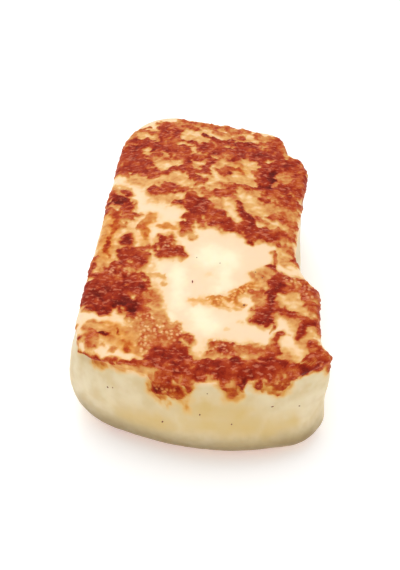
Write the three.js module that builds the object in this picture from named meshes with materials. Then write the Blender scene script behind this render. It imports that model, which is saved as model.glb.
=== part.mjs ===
// A pan-fried block of farmhouse grilling cheese, one solid, lying on its flat underside.
// Millimetres, +Z up. The bowed front end faces -Y, and the origin is the middle of the footprint.
//
// The block starts as a finely divided box. Each box point is first carried onto a slab with rounded edges,
// and the slab is then bent to the real outline: a bowed front end with a swollen wall, a narrower slanted
// back end, a nearly straight left side, and a right side where crust has run out into three lobes.
import * as THREE from "three";
import { mergeVertices } from "three/addons/utils/BufferGeometryUtils.js";

const { clamp, lerp, smoothstep } = THREE.MathUtils;

// Driving dimensions
const LENGTH = 111; // between the corners, front end to back end
const FRONT_WIDTH = 67;
const BACK_WIDTH = 55.5;
const HEIGHT = 32.5;

// Rounding of the slab: upright corners seen from above, then the edges of the top and the base
const FRONT_CORNER_RADII = { left: 12, right: 8 };
const BACK_CORNER_RADII = { left: 20, right: 9 };
const TOP_EDGE_RADIUS = 2.5; // fried edge, nearly crisp
const BASE_EDGE_RADII = { left: 8.5, right: 4 }; // soft edge left by the mould

// Outline of the two ends
const FRONT_BOW = 7; // how far the middle of the front end stands ahead of its corners
const FRONT_LEAD = 2.8; // the right front corner leads the left one by twice this
const BACK_BOW = 2;
const BACK_SLANT = 7; // the right back corner falls short of the left one by twice this
const BACK_SHIFT = 4.8; // the back end's middle lies this far to the right of the front end's

// Swell of the walls below the crust
const FRONT_BELLY = 8.5;
const FRONT_BELLY_FADE = 0.4; // share of the front belly that is lost at the corners
const FRONT_BELLY_LEAN = 0.05; // share by which the front belly is fuller on the right than in the middle
const SIDE_BELLY = 1;
const CORNER_BELLY = { left: 8.5, right: 1.6 }; // added to the side belly at the front corners
const BELLY_FOOT = { left: 0.75, right: 0.22 }; // shares of the height over which a belly comes out

// Fried edge
const CRUST_OVERHANG = 0.8; // how far the edge stands out over the wall below it
const CRUST_THICKNESS = 3;
const UNDERCUT_FOOT = 12; // depth below the top where the wall is back at its full width

// Fried top
const TOP_CROWN = 1.4; // the middle stands this much over the edges
const BACK_SAG = 1.2; // the back end is this much lower
const WAVE_HEIGHT = 0.5;
const WAVES = [
  { across: 3.1, along: 2.3, start: 0.6 },
  { across: -1.7, along: 4.4, start: 0 },
];

// Crust lobes down the right side, and the hollows between them. Each reaches out, or in, at one place
// along the block, and fades over one distance towards the back and another towards the front. The lobe nearest
// the back is two of these, so that it starts with a step.
const RIGHT_EDGE = [
  { along: 31.5, reach: -2.4, fadeBack: 12, fadeFront: 1.2 },
  { along: 28.2, reach: 1.8, fadeBack: 0.7, fadeFront: 14 },
  { along: 22, reach: 2, fadeBack: 4.4, fadeFront: 11 },
  { along: -18.5, reach: -3.6, fadeBack: 15, fadeFront: 9.5 },
  { along: -32.5, reach: 1.6, fadeBack: 3.4, fadeFront: 7.5 },
  { along: -56, reach: 3.4, fadeBack: 3, fadeFront: 3 },
];
const LOBE_ROOT = 0.3; // share of a lobe's reach that goes all the way down the wall
const LOBE_RISE = { from: 0.4, to: 0.9 }; // shares of the height between which a lobe gains its full reach

// Where the bends set in, as shares of the way from the block's middle to its edge
const LOBES_FROM = 0.45;
const SIDE_BELLY_FROM = 0.6;
const FRONT_BELLY_FROM = 0.55;
const CORNER_BELLY_FROM = 0.5;
const UNDERCUT_FROM = 0.9;

// Divisions of the starting box, and how far they crowd towards its edges
const DIVISIONS = { across: 24, along: 50, up: 12 };
const CROWDING = 0.4;
// Shares of the wall's divisions, from the top, where the top rounding ends and the base rounding begins
const WALL_STARTS = 2 / DIVISIONS.up;
const WALL_ENDS = 9 / DIVISIONS.up;

const HALF_WIDTH = FRONT_WIDTH / 2;
const HALF_LENGTH = LENGTH / 2;
const HALF_EDGE = Math.PI / 4; // turn of a rounded edge where the wall passes into the top or the base

// Between a left and a right value, at a place across from -1 to 1.
function leftToRight({ left, right }, across) {
  return lerp(left, right, (across + 1) / 2);
}

// A value from -1 to 1 moved towards the nearer end.
function crowd(t) {
  return (1 - CROWDING) * t + CROWDING * Math.sin((t * Math.PI) / 2);
}

// A bell with its own width on each side: towards the back and towards the front.
function bell(y, { along, reach, fadeBack, fadeFront }) {
  const away = (y - along) / (y > along ? fadeBack : fadeFront);
  return reach * Math.exp(-away * away);
}

function cornerRadius(a, b) {
  const end = b < 0 ? FRONT_CORNER_RADII : BACK_CORNER_RADII;
  return a < 0 ? end.left : end.right;
}

// A square's point (a, b) on the rounded rectangle set in by some distance, and its depth inside the outline.
function planPoint(a, b, inset) {
  const radius = cornerRadius(a, b);
  const coreX = clamp(a * HALF_WIDTH, radius - HALF_WIDTH, HALF_WIDTH - radius);
  const coreY = clamp(b * HALF_LENGTH, radius - HALF_LENGTH, HALF_LENGTH - radius);
  const outX = a * HALF_WIDTH - coreX;
  const outY = b * HALF_LENGTH - coreY;
  const reach = Math.max(Math.abs(outX), Math.abs(outY)) * (1 - inset / radius);
  const share = reach > 0 ? reach / Math.hypot(outX, outY) : 0;
  return { x: coreX + outX * share, y: coreY + outY * share, depth: radius - reach };
}

// How far a rounded edge is set in from the wall, after a turn away from it.
function edgeInset(turn, radius) {
  return radius * (1 - Math.cos(turn));
}

// How far a rounded edge has fallen away from its flat face, at a depth inside the outline.
function edgeFall(depth, radius) {
  const short = Math.max(0, radius - depth);
  return radius - Math.sqrt(radius * radius - short * short);
}

// The wall from the top's rounded edge (0) to the base's (1): its set-in from the outline and its height.
function wallPoint(down, baseRadius) {
  if (down < WALL_STARTS) {
    const turn = HALF_EDGE * (1 - down / WALL_STARTS);
    const drop = TOP_EDGE_RADIUS * (1 - Math.sin(turn));
    return { inset: edgeInset(turn, TOP_EDGE_RADIUS), z: HEIGHT - drop };
  }
  if (down > WALL_ENDS) {
    const turn = (HALF_EDGE * (down - WALL_ENDS)) / (1 - WALL_ENDS);
    return { inset: edgeInset(turn, baseRadius), z: baseRadius * (1 - Math.sin(turn)) };
  }
  const share = (down - WALL_STARTS) / (WALL_ENDS - WALL_STARTS);
  return { inset: 0, z: lerp(HEIGHT - TOP_EDGE_RADIUS, baseRadius, share) };
}

// A point of the unit box on the slab with rounded edges.
function slabPoint(box) {
  const a = crowd(box.x);
  const b = crowd(box.y);
  const baseRadius = leftToRight(BASE_EDGE_RADII, a);
  if (box.z === 1) {
    const top = planPoint(a, b, edgeInset(HALF_EDGE, TOP_EDGE_RADIUS));
    return new THREE.Vector3(top.x, top.y, HEIGHT - edgeFall(top.depth, TOP_EDGE_RADIUS));
  }
  if (box.z === -1) {
    const base = planPoint(a, b, edgeInset(HALF_EDGE, baseRadius));
    return new THREE.Vector3(base.x, base.y, edgeFall(base.depth, baseRadius));
  }
  const wall = wallPoint((1 - box.z) / 2, baseRadius);
  const side = planPoint(a, b, wall.inset);
  return new THREE.Vector3(side.x, side.y, wall.z);
}

// Place along the block, between the bowed, slanted ends, with the front wall swollen. Here and below, u, v
// and w are a slab point's places across, along and up, and belly is the swell's share at its height.
function bendAlong(u, v, belly) {
  const front = -HALF_LENGTH - FRONT_BOW * (1 - u * u) - FRONT_LEAD * u;
  const back = HALF_LENGTH + BACK_BOW * (1 - u * u) - BACK_SLANT * (1 + u);
  const fullness = 1 - FRONT_BELLY_FADE * u * u + FRONT_BELLY_LEAN * u;
  const swell = FRONT_BELLY * belly * fullness * smoothstep(-v, FRONT_BELLY_FROM, 1);
  return lerp(front, back, (v + 1) / 2) - swell;
}

// Place across the block, narrower towards the back, lobed on the right, and swollen on both sides.
function bendAcross(u, v, w, y, belly) {
  const towardsBack = (v + 1) / 2;
  const straight = (u * lerp(FRONT_WIDTH, BACK_WIDTH, towardsBack)) / 2 + BACK_SHIFT * towardsBack;
  const reach = RIGHT_EDGE.reduce((sum, lobe) => sum + bell(y, lobe), 0);
  const height = lerp(LOBE_ROOT, 1, smoothstep(w, LOBE_RISE.from, LOBE_RISE.to));
  const lobes = reach * height * smoothstep(u, LOBES_FROM, 1);
  const side = u < 0 ? -1 : 1;
  const corner = (u < 0 ? CORNER_BELLY.left : CORNER_BELLY.right) * smoothstep(-v, CORNER_BELLY_FROM, 1);
  const swell = side * belly * (SIDE_BELLY + corner) * smoothstep(Math.abs(u), SIDE_BELLY_FROM, 1);
  return straight + lobes + swell;
}

// Rise of the fried top over the slab's flat one.
function topRelief(u, v) {
  const crown = TOP_CROWN * (1 - u * u) * (1 - v * v);
  const sag = BACK_SAG * smoothstep(v, 0, 1);
  const waves = WAVES.map(({ across, along, start }) => Math.sin(across * u + along * v + start));
  return crown - sag + WAVE_HEIGHT * waves.reduce((sum, wave) => sum + wave, 0);
}

// How far the wall is drawn in just below the fried edge, so that the crust stands out over it.
function undercut(u, v, z) {
  const below = HEIGHT - z;
  const start = smoothstep(below, CRUST_THICKNESS / 2, CRUST_THICKNESS);
  const end = 1 - smoothstep(below, CRUST_THICKNESS, UNDERCUT_FOOT);
  return CRUST_OVERHANG * start * end * smoothstep(Math.max(Math.abs(u), Math.abs(v)), UNDERCUT_FROM, 1);
}

// A point of the slab on the cheese.
function cheesePoint(slab) {
  const u = slab.x / HALF_WIDTH;
  const v = slab.y / HALF_LENGTH;
  const w = slab.z / HEIGHT;
  const out = Math.min(w / leftToRight(BELLY_FOOT, u), 1);
  const belly = (1 - w) * Math.sin((out * Math.PI) / 2);
  const y = bendAlong(u, v, belly);
  const x = bendAcross(u, v, w, y, belly);
  const z = slab.z + topRelief(u, v) * w * w;
  const inward = new THREE.Vector2(-u, -v).setLength(undercut(u, v, slab.z));
  return new THREE.Vector3(x + inward.x, y + inward.y, z);
}

// The closed skin of the block, with its footprint's middle at the origin.
function cheeseGeometry() {
  const box = new THREE.BoxGeometry(2, 2, 2, DIVISIONS.across, DIVISIONS.along, DIVISIONS.up);
  box.deleteAttribute("normal");
  box.deleteAttribute("uv");
  const skin = mergeVertices(box);
  const places = skin.getAttribute("position");
  for (let i = 0; i < places.count; i++) {
    const slab = slabPoint(new THREE.Vector3().fromBufferAttribute(places, i));
    const point = cheesePoint(slab);
    places.setXYZ(i, point.x, point.y, point.z);
  }
  skin.computeBoundingBox();
  const middle = skin.boundingBox.getCenter(new THREE.Vector3());
  skin.translate(-middle.x, -middle.y, 0);
  skin.computeVertexNormals();
  return skin;
}

const FRIED_CHEESE = new THREE.MeshStandardMaterial({ color: 0xe8c79a, roughness: 0.55, metalness: 0 });

const block = new THREE.Mesh(cheeseGeometry(), FRIED_CHEESE);
block.name = "cheese_block";

const cheese = new THREE.Group();
cheese.add(block);

export default cheese;
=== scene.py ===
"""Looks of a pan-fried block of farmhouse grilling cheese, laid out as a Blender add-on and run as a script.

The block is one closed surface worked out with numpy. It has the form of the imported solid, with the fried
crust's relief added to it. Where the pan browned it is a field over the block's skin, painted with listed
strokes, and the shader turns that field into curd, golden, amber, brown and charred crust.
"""
import math

import bpy
import numpy as np
from bpy.props import FloatProperty, FloatVectorProperty, PointerProperty
from bpy.types import Operator, Panel, PropertyGroup
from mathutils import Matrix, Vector


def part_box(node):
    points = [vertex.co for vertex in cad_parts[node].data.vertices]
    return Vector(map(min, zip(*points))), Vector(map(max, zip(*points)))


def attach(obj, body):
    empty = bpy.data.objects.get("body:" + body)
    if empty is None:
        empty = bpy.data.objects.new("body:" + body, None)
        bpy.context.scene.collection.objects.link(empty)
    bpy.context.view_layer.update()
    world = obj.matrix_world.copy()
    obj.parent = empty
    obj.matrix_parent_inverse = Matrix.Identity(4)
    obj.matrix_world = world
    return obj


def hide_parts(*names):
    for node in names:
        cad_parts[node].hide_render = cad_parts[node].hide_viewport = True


bl_info = {
    "name": "Fried cheese block",
    "version": (1, 0, 0),
    "blender": (4, 5, 0),
    "location": "3D View > Sidebar > Cheese",
    "description": "Makes a pan-fried block of grilling cheese, its specks and a plain stage",
    "category": "Add Mesh",
}

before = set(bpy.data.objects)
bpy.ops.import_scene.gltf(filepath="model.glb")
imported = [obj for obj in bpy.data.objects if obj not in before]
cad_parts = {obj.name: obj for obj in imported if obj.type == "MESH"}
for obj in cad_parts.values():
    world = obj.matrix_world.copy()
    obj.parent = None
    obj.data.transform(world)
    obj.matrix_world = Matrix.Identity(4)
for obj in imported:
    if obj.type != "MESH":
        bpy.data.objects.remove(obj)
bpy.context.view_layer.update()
BLOCK_NODE = "cheese_block"
BLOCK_PIECE = "fried_block"
BLOCK_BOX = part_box(BLOCK_NODE)
BODY = "root"

# Shapes and marks are worked out in millimetres, and meshes are in metres.
MM = 0.001

# Form of the block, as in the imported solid
LENGTH = 111
FRONT_WIDTH = 67
BACK_WIDTH = 55.5
HEIGHT = 32.5
FRONT_CORNER_RADII = (12, 8)  # left, right
BACK_CORNER_RADII = (20, 9)
TOP_EDGE_RADIUS = 2.5
BASE_EDGE_RADII = (8.5, 4)
FRONT_BOW = 7
FRONT_LEAD = 2.8
BACK_BOW = 2
BACK_SLANT = 7
BACK_SHIFT = 4.8
FRONT_BELLY = 8.5
FRONT_BELLY_FADE = 0.4
FRONT_BELLY_LEAN = 0.05
SIDE_BELLY = 1
CORNER_BELLY = (8.5, 1.6)
BELLY_FOOT = (0.75, 0.22)
CRUST_OVERHANG = 0.8
CRUST_THICKNESS = 3
UNDERCUT_FOOT = 12
TOP_CROWN = 1.4
BACK_SAG = 1.2
WAVE_HEIGHT = 0.5
WAVES = ((3.1, 2.3, 0.6), (-1.7, 4.4, 0))  # across, along, start
# Lobes and hollows of the right edge: place along, reach, fade towards the back, fade towards the front
RIGHT_EDGE = (
    (31.5, -2.4, 12, 1.2),
    (28.2, 1.8, 0.7, 14),
    (22, 2, 4.4, 11),
    (-18.5, -3.6, 15, 9.5),
    (-32.5, 1.6, 3.4, 7.5),
    (-56, 3.4, 3, 3),
)
LOBE_ROOT = 0.3
LOBE_RISE = (0.4, 0.9)
LOBES_FROM = 0.45
SIDE_BELLY_FROM = 0.6
FRONT_BELLY_FROM = 0.55
CORNER_BELLY_FROM = 0.5
UNDERCUT_FROM = 0.9
RADII_MEET = 0.3  # the corner radii pass into each other over this share of the way from the middle

HALF_WIDTH = FRONT_WIDTH / 2
HALF_LENGTH = LENGTH / 2
HALF_EDGE = math.pi / 4  # half of a rounded edge's quarter turn

# Divisions of the surface
TOP_ACROSS = 168
TOP_ALONG = 276
BASE_RINGS = 18
# Shares of the way down at which the wall's straight stretch starts and ends
WALL_STARTS = 1 / 6
WALL_ENDS = 0.75
# Wall rows from the top edge: row number against the share of the way down
WALL_ROWS = ((0, 5, 20, 31, 36), (0.0, WALL_STARTS, 0.36, WALL_ENDS, 1.0))

# Browning strokes on the unfolded skin, where the walls are laid out flat around the top: x and y of both
# ends, half width, level and cover. Levels: 0.2 golden, 0.4 amber, 0.6 orange brown, 0.75 red brown,
# 0.9 dark, 1 charred. A cover below 1 breaks the stroke up into islands.
BACK_STROKES = (
    (-20.5, 44, -22, 31.5, 4.4, 0.68, 1),
    (-17, 46, -16, 43.5, 2.2, 0.68, 0.97),
    (-24.4, 44, -26, 29, 2, 0.66, 0.95),
    (-21, 51.5, -23.4, 46, 1.8, 0.38, 0.9),
    (-9.4, 52.6, -8.2, 43, 3.9, 0.66, 1),
    (-12, 49, -11.5, 46, 1.8, 0.64, 0.95),
    (-12, 42.4, -7.5, 38.6, 3.8, 0.68, 1),
    (-8.4, 39.6, -4.4, 36, 3, 0.66, 0.97),
    (-8.4, 34, -5.6, 33, 1.6, 0.6, 0.95),
    (-16, 36.4, -13, 36.8, 1.5, 0.66, 0.97),
    (-12.8, 38.4, -9.4, 38.8, 1.5, 0.62, 0.97),
    (-10.8, 33.4, -7.8, 34.6, 1.2, 0.58, 0.95),
    (-1, 35.6, 1.6, 33, 1.6, 0.66, 1),
    (-1.6, 27, 1, 25.4, 1.3, 0.6, 0.97),
    (-3.6, 41.2, -2.4, 35, 2, 0.66, 0.95),
    (-4.2, 33.4, -3, 27, 2.6, 0.66, 0.97),
    (-19, 33, -15, 28, 3.6, 0.7, 1),
    (-15, 26.4, -8, 27, 2.3, 0.67, 0.97),
    (-15.4, 25.6, -12.4, 24, 1.3, 0.6, 0.95),
    (-24, 39.5, -23.8, 36, 0.9, 0.84, 1),
    (-18.3, 53.1, -15.4, 53.5, 0.5, 0.8, 1),
    (-17, 46.1, -14.8, 46.2, 0.5, 0.9, 1),
    (-12, 48.4, -12.5, 45, 0.6, 0.92, 1),
    (-14.2, 43.8, -12.8, 42.6, 1.2, 1.0, 1),
    (-14.2, 41.4, -14.4, 39, 0.6, 0.82, 1),
    (-18.5, 31.5, -16.5, 29.8, 1, 0.8, 1),
    (-14.5, 29.5, -13, 27.3, 1.1, 0.78, 1),
    (-18.8, 52, -13, 49.6, 1.3, 0.56, 0.95),
    (-6.5, 56.2, 4, 55, 2, 0.5, 0.88),
    (5, 54.2, 17, 51, 1.9, 0.5, 0.88),
    (20, 49.6, 26, 47, 1.6, 0.5, 0.88),
    (27, 46, 28.4, 40.6, 1.8, 0.6, 0.95),
    (-7, 53.3, 0, 52.4, 1.6, 0.56, 0.95),
    (-22.4, 27.2, -22, 26.4, 1.3, 0.44, 0.95),
    (2, 48.8, 3.2, 47, 0.8, 0.86, 1),
    (3.2, 47, 6, 45.4, 1, 0.72, 1),
    (-5.3, 43.9, 1.8, 43, 0.45, 0.8, 1),
    (-1, 41.6, 4, 41.4, 1.7, 0.68, 1),
    (0.4, 37.6, 3, 35, 2.4, 0.68, 0.97),
    (3, 39, 10, 37, 2.8, 0.68, 0.97),
    (4.6, 34.5, 4.4, 32, 2.1, 0.74, 1),
    (3.6, 29.4, 3, 26, 2.2, 0.7, 1),
    (7.5, 34.5, 9.4, 34, 1.7, 0.66, 0.95),
    (5.5, 43.8, 18, 40.4, 3, 0.68, 1),
    (10, 38, 24, 37.5, 3.6, 0.68, 1),
    (11, 45, 19, 42.8, 0.7, 0.84, 1),
    (24.5, 41.6, 25.5, 33.4, 3, 0.67, 1),
    (27, 43, 27.4, 36, 1.3, 0.58, 0.95),
    (18.5, 33.8, 26, 32.4, 2.2, 0.68, 1),
    (11, 33, 14, 33.4, 1.9, 0.74, 1),
    (15.5, 34.8, 19, 34.4, 1.2, 0.6, 0.95),
    (6, 50.5, 16, 47.6, 1.7, 0.5, 0.88),
    (12, 47, 16, 46, 1.2, 0.56, 0.95),
    (20.5, 43.6, 26, 43.8, 1.8, 0.62, 0.97),
    (21, 46.4, 25, 45.4, 1.2, 0.44, 0.85),
    (13.4, 28, 14.2, 25.4, 1.1, 0.56, 1),
    (10.8, 28.6, 12, 27.4, 1.2, 0.54, 0.95),
    (6.4, 28.4, 7, 26.4, 1.1, 0.54, 0.95),
)
MIDDLE_STROKES = (
    (8, 15.4, 10.8, 17.2, 3.2, 0.68, 1),
    (0.3, 22, 1.2, 20, 2, 0.68, 0.95),
    (-0.5, 18, 4, 14, 2, 0.5, 0.78),
    (13.4, 18.6, 18.5, 17.8, 0.9, 0.62, 1),
    (-13.6, 17.8, -10.5, 17, 2.4, 0.62, 0.95),
    (-9.4, 19.8, -6.4, 16.6, 2, 0.74, 1),
    (-6.4, 16.4, -3.6, 17, 1.4, 0.66, 0.95),
    (-2.4, 16.4, -1.2, 14, 1.2, 0.56, 0.9),
    (-6.9, 10.9, -2.6, 9.2, 1, 0.7, 1),
    (-1.6, 12.2, 0.4, 7, 2.9, 0.71, 1),
    (1.2, 9, 5, 4.6, 3.5, 0.71, 1),
    (0.6, 3.6, 2.2, 1.2, 1.8, 0.64, 0.95),
    (5.4, 4.8, 8.6, 0.8, 3.2, 0.68, 1),
    (8.4, 1, 14, -1, 2.5, 0.7, 1),
    (13.6, 0.4, 17, -3, 2.9, 0.72, 1),
    (17.6, -1.4, 22.6, -3.4, 3, 0.71, 1),
    (19.8, -0.4, 22.6, -4.6, 1.1, 0.8, 1),
    (22.6, -4.6, 24, -6.4, 1.1, 0.7, 1),
    (23.4, -1.2, 25.6, -3, 2, 0.58, 0.97),
    (12.4, 10.4, 14.4, 4.4, 1.5, 0.84, 1),
    (14.4, 4.4, 16, 1, 1.6, 0.8, 1),
    (5.5, 9.4, 10.5, 6, 1.8, 0.46, 0.75),
    (-3.6, 5, -2, 3.4, 1.6, 0.6, 0.95),
    (-3.2, 1.6, -3, -1.6, 1.8, 0.6, 0.95),
    (-2.6, -3, -1.4, -4, 1.7, 0.44, 0.95),
    (21, 6, 27.2, 4, 1.9, 0.6, 0.95),
    (17.6, 4, 20, 3, 1.2, 0.44, 0.9),
    (28.4, 8, 28.4, -4, 1.7, 0.5, 0.92),
    (26, -5.6, 27.6, -10, 1.1, 0.5, 0.95),
    (27.6, -10, 28.6, -15.4, 0.9, 0.56, 0.95),
    (-22.6, 17.8, -21.4, 16.6, 1.6, 0.76, 1),
    (-25.2, 15, -22.6, 11.8, 2, 0.88, 1),
    (-26.6, 12.2, -25.4, 14, 1.1, 0.86, 1),
    (-22.4, 12.4, -20.6, 10.2, 1.7, 0.8, 1),
    (-22.6, 8.4, -20, 6, 2.8, 0.66, 0.97),
    (-24, 5.8, -22.6, 2, 1.7, 0.56, 0.95),
    (-27.4, 9.6, -27.1, 7.8, 1.1, 0.78, 1),
    (-26.2, 9.6, -25, 8.6, 1.2, 0.5, 1),
    (-24.7, 2, -25, -3.6, 0.9, 0.5, 1),
    (-27.2, 0.4, -27, -3, 1.4, 0.36, 0.85),
    (-25.7, -4.8, -26.7, -8.6, 0.9, 0.66, 1),
    (-26.6, -8.4, -25.4, -11.6, 0.9, 0.48, 1),
    (-20.4, -4.4, -20.3, -11, 2, 0.8, 1),
    (-22, -9.5, -21, -13.5, 1.5, 0.72, 0.97),
    (-13.2, 5.2, -16.4, 1.2, 2.1, 0.42, 1),
    (-17, 1, -15.8, -1.4, 1.7, 0.46, 1),
    (-15.4, -1, -15.2, -3.6, 1.4, 0.4, 1),
    (-10.4, 0.9, -6.6, -0.4, 1.8, 0.36, 1),
    (-9.8, -5.4, -9, -9.4, 2.1, 0.72, 0.97),
    (-7.4, -4.4, -6.6, -9.4, 1.5, 0.6, 0.95),
    (-10.4, -10.6, -5.4, -11.4, 1.9, 0.6, 0.95),
    (-5.2, -8, -4, -12.2, 1, 0.6, 1),
    (-7, -13.2, -4.6, -13.4, 1.2, 0.3, 0.9),
    (-12.6, -8, -12, -9.4, 1.1, 0.54, 0.95),
    (-17, -9, -14.8, -8.4, 1.4, 0.58, 0.95),
    (-18.8, -10.6, -15.6, -13, 2.4, 0.7, 1),
)
CENTRE_STROKES = (
    (-1.6, -28.8, 2.6, -29.4, 1, 0.25, 0.8),
    (3.4, -28.4, 6.2, -27.6, 1.4, 0.38, 0.8),
    (6.2, -27.6, 8.4, -29, 1.5, 0.41, 0.82),
    (4.6, -30.2, 8.2, -31, 1.2, 0.36, 0.78),
    (8.4, -29, 10.4, -28.4, 1.5, 0.43, 0.85),
    (10.4, -28.4, 12.2, -25.8, 1.6, 0.41, 0.82),
    (12.2, -25.8, 14.6, -23.8, 1.5, 0.35, 0.8),
    (10.8, -29.4, 12.4, -31, 0.7, 0.36, 1),
    (16.2, -20.2, 16.6, -22.6, 1.5, 0.4, 1),
    (15.2, -26.6, 18, -27.2, 0.9, 0.48, 1),
    (14, -24.6, 18.6, -24.4, 1.4, 0.36, 0.9),
    (16.4, -29, 17.4, -30.6, 1.4, 0.42, 0.9),
    (9.6, -31, 12, -33, 1.2, 0.27, 0.8),
    (5.2, -31.6, 8.8, -32.6, 0.8, 0.23, 0.8),
)
LOBE_STROKES = (
    (21, 29.4, 31, 30.2, 2.8, 0.7, 0.97),
    (28, 34.6, 33.6, 33, 2.4, 0.66, 0.95),
    (34, 32, 34.6, 20, 1.9, 0.64, 0.92),
    (30.4, 31.6, 32.6, 22, 2.1, 0.66, 0.97),
    (21.2, 26.6, 21, 19, 2.6, 0.76, 0.97),
    (24.6, 27.2, 21.6, 19, 1.5, 1.02, 1),
    (27.6, 24.6, 29.6, 26.4, 2.4, 0.48, 0.92),
    (26.6, 19.4, 31.6, 18, 2.8, 0.72, 0.97),
    (21.4, 14, 30, 13, 3.1, 0.7, 0.95),
    (21.6, 17.6, 25.4, 16.4, 2, 0.64, 0.95),
    (28.6, 11.4, 30.4, 9.4, 2, 0.7, 0.97),
    (21, 10.6, 27, 10.2, 1.4, 0.44, 0.85),
    (17.6, 28, 18.8, 22.4, 1.3, 0.54, 0.92),
    (22.6, -11, 22.8, -14.6, 1.2, 0.56, 0.95),
    (22.2, -18, 23.4, -20, 1.4, 0.7, 1),
    (24, -20.6, 28.8, -22.6, 2.2, 0.68, 1),
    (22, -23, 22.9, -27.4, 2.3, 0.73, 1),
    (25.4, -25.8, 28.8, -25, 2, 0.5, 0.95),
    (29.8, -23.4, 31.4, -27, 2.6, 0.67, 1),
    (31.4, -27, 32, -32.6, 2.5, 0.68, 1),
    (21, -28.6, 19.4, -32.4, 1.9, 0.8, 1),
    (18.4, -32.6, 17.9, -37, 2.4, 0.8, 1),
    (21.6, -32.6, 26, -34.6, 1.8, 0.74, 1),
    (26, -34.8, 29, -37, 0.7, 0.64, 1),
    (29.4, -37.6, 27.6, -41.6, 1.8, 0.8, 1),
    (31.8, -33, 32.2, -40, 1.7, 0.56, 0.97),
    (30.6, -40, 31, -43.4, 1.1, 0.42, 0.9),
    (19.6, -40, 19.4, -41.8, 0.3, 0.5, 1),
    (30.6, -46.6, 33, -50.4, 2.3, 0.68, 1),
)
FRONT_STROKES = (
    (-29.6, -14, -30.2, -18, 1.5, 0.72, 1),
    (-23, -15.4, -17.4, -14.8, 2, 0.68, 0.97),
    (-27.2, -18.6, -17.4, -18.6, 2.7, 0.66, 0.97),
    (-30.4, -24, -17.4, -23, 3.8, 0.78, 1),
    (-30, -27.4, -24.6, -28.4, 3.8, 0.8, 1),
    (-31.4, -24, -30.4, -30, 1.1, 0.86, 1),
    (-29, -32, -24.4, -32.6, 1.2, 0.84, 1),
    (-20.6, -28.8, -17.4, -30.6, 2.9, 0.96, 1),
    (-18.4, -33.4, -17.2, -34.4, 1.4, 0.62, 1),
    (-16, -26.6, -15.4, -32, 1.4, 0.6, 0.97),
    (-13.6, -27.6, -13.6, -33.4, 1.7, 0.46, 0.92),
    (-13.4, -18.4, -9.6, -18.5, 1, 0.3, 0.95),
    (-9.4, -18.6, -9.3, -22.4, 0.9, 0.28, 0.95),
    (-29.6, -37, -24.4, -37, 0.8, 0.44, 0.95),
    (-28.4, -42, -26.6, -41.8, 1, 0.58, 1),
    (-28.6, -40, -27, -44.2, 2.1, 0.44, 0.88),
    (-25.9, -41.1, -23.9, -41, 0.5, 1.0, 1),
    (-19.9, -43.6, -19.2, -45, 1, 0.48, 0.95),
    (-18.9, -45.9, -18.4, -46.8, 0.9, 0.54, 1),
    (-21.1, -39.4, -21.3, -41.2, 0.45, 0.74, 1),
    (-14.6, -33, -13.6, -45, 1.9, 0.46, 0.92),
    (-13, -39.4, -6.4, -39, 2.8, 0.43, 0.95),
    (-12.4, -43.2, -6, -43, 3, 0.5, 0.97),
    (-7.4, -37.2, -5, -37.2, 1.1, 0.42, 0.95),
    (-4.6, -41, -2, -43, 1.3, 0.6, 1),
    (-9.4, -48.4, -4.6, -48, 3.6, 0.78, 1),
    (-14.4, -49.4, -10, -50, 1.6, 0.64, 0.97),
    (-10, -51.4, 0, -54, 1.8, 0.8, 1),
    (-2, -51, 2, -51.5, 1.8, 0.7, 0.95),
    (1, -51.6, 8, -52.6, 2.7, 0.8, 1),
    (6, -52.4, 21, -53, 2.9, 0.74, 1),
    (4.2, -45.8, 9, -46.6, 2.7, 0.6, 0.97),
    (9, -47.2, 19, -47.6, 2.3, 0.5, 0.97),
    (18.6, -49.2, 21, -48, 1.7, 0.82, 1),
    (20.6, -48, 22.5, -42, 1.3, 0.62, 1),
    (23, -54, 31, -52, 1.4, 0.62, 1),
    (28.4, -53.4, 32.6, -51.4, 1.4, 0.84, 1),
    (22.6, -52.8, 26.5, -52, 0.5, 0.66, 1),
    (26.5, -52, 30, -49, 0.5, 0.66, 1),
    (-32.6, -44.8, -27.3, -47.8, 0.7, 0.72, 1),
    (-27.3, -47.8, -22.5, -49.5, 0.7, 0.68, 1),
    (-22.5, -49.5, -18.4, -50.8, 0.7, 0.76, 1),
    (-18.4, -50.8, -15, -50.9, 0.8, 0.72, 1),
    (-15, -50.9, -11.5, -50.7, 1.1, 0.66, 1),
    # Painted shade on the wall just below the lip
    (-29, -49, -23, -51.2, 1.2, 0.36, 0.95),
    (-23, -51.2, -14, -52.4, 1.1, 0.36, 0.95),
)
DRIP_STROKES = (
    (-10.8, -55, -11.2, -58.6, 2, 0.64, 0.95),
    (-8, -54, -7.6, -59, 2.1, 0.64, 0.95),
    (-5, -55.5, -5, -59.2, 1.9, 0.6, 0.95),
    (-2.6, -55, -2.4, -57.5, 1.4, 0.58, 0.95),
    (7.4, -56.4, 9.4, -59, 2, 0.6, 0.95),
    (12, -56, 12.3, -58.2, 0.8, 0.84, 1),
    (16.4, -56.4, 16.9, -58, 0.9, 0.78, 1),
    (19.6, -56, 24, -57, 2.1, 0.56, 0.92),
    (20.6, -59, 22.4, -59.6, 1.5, 0.44, 0.85),
    (23.6, -56, 27, -55, 1.1, 0.54, 0.95),
)
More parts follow.
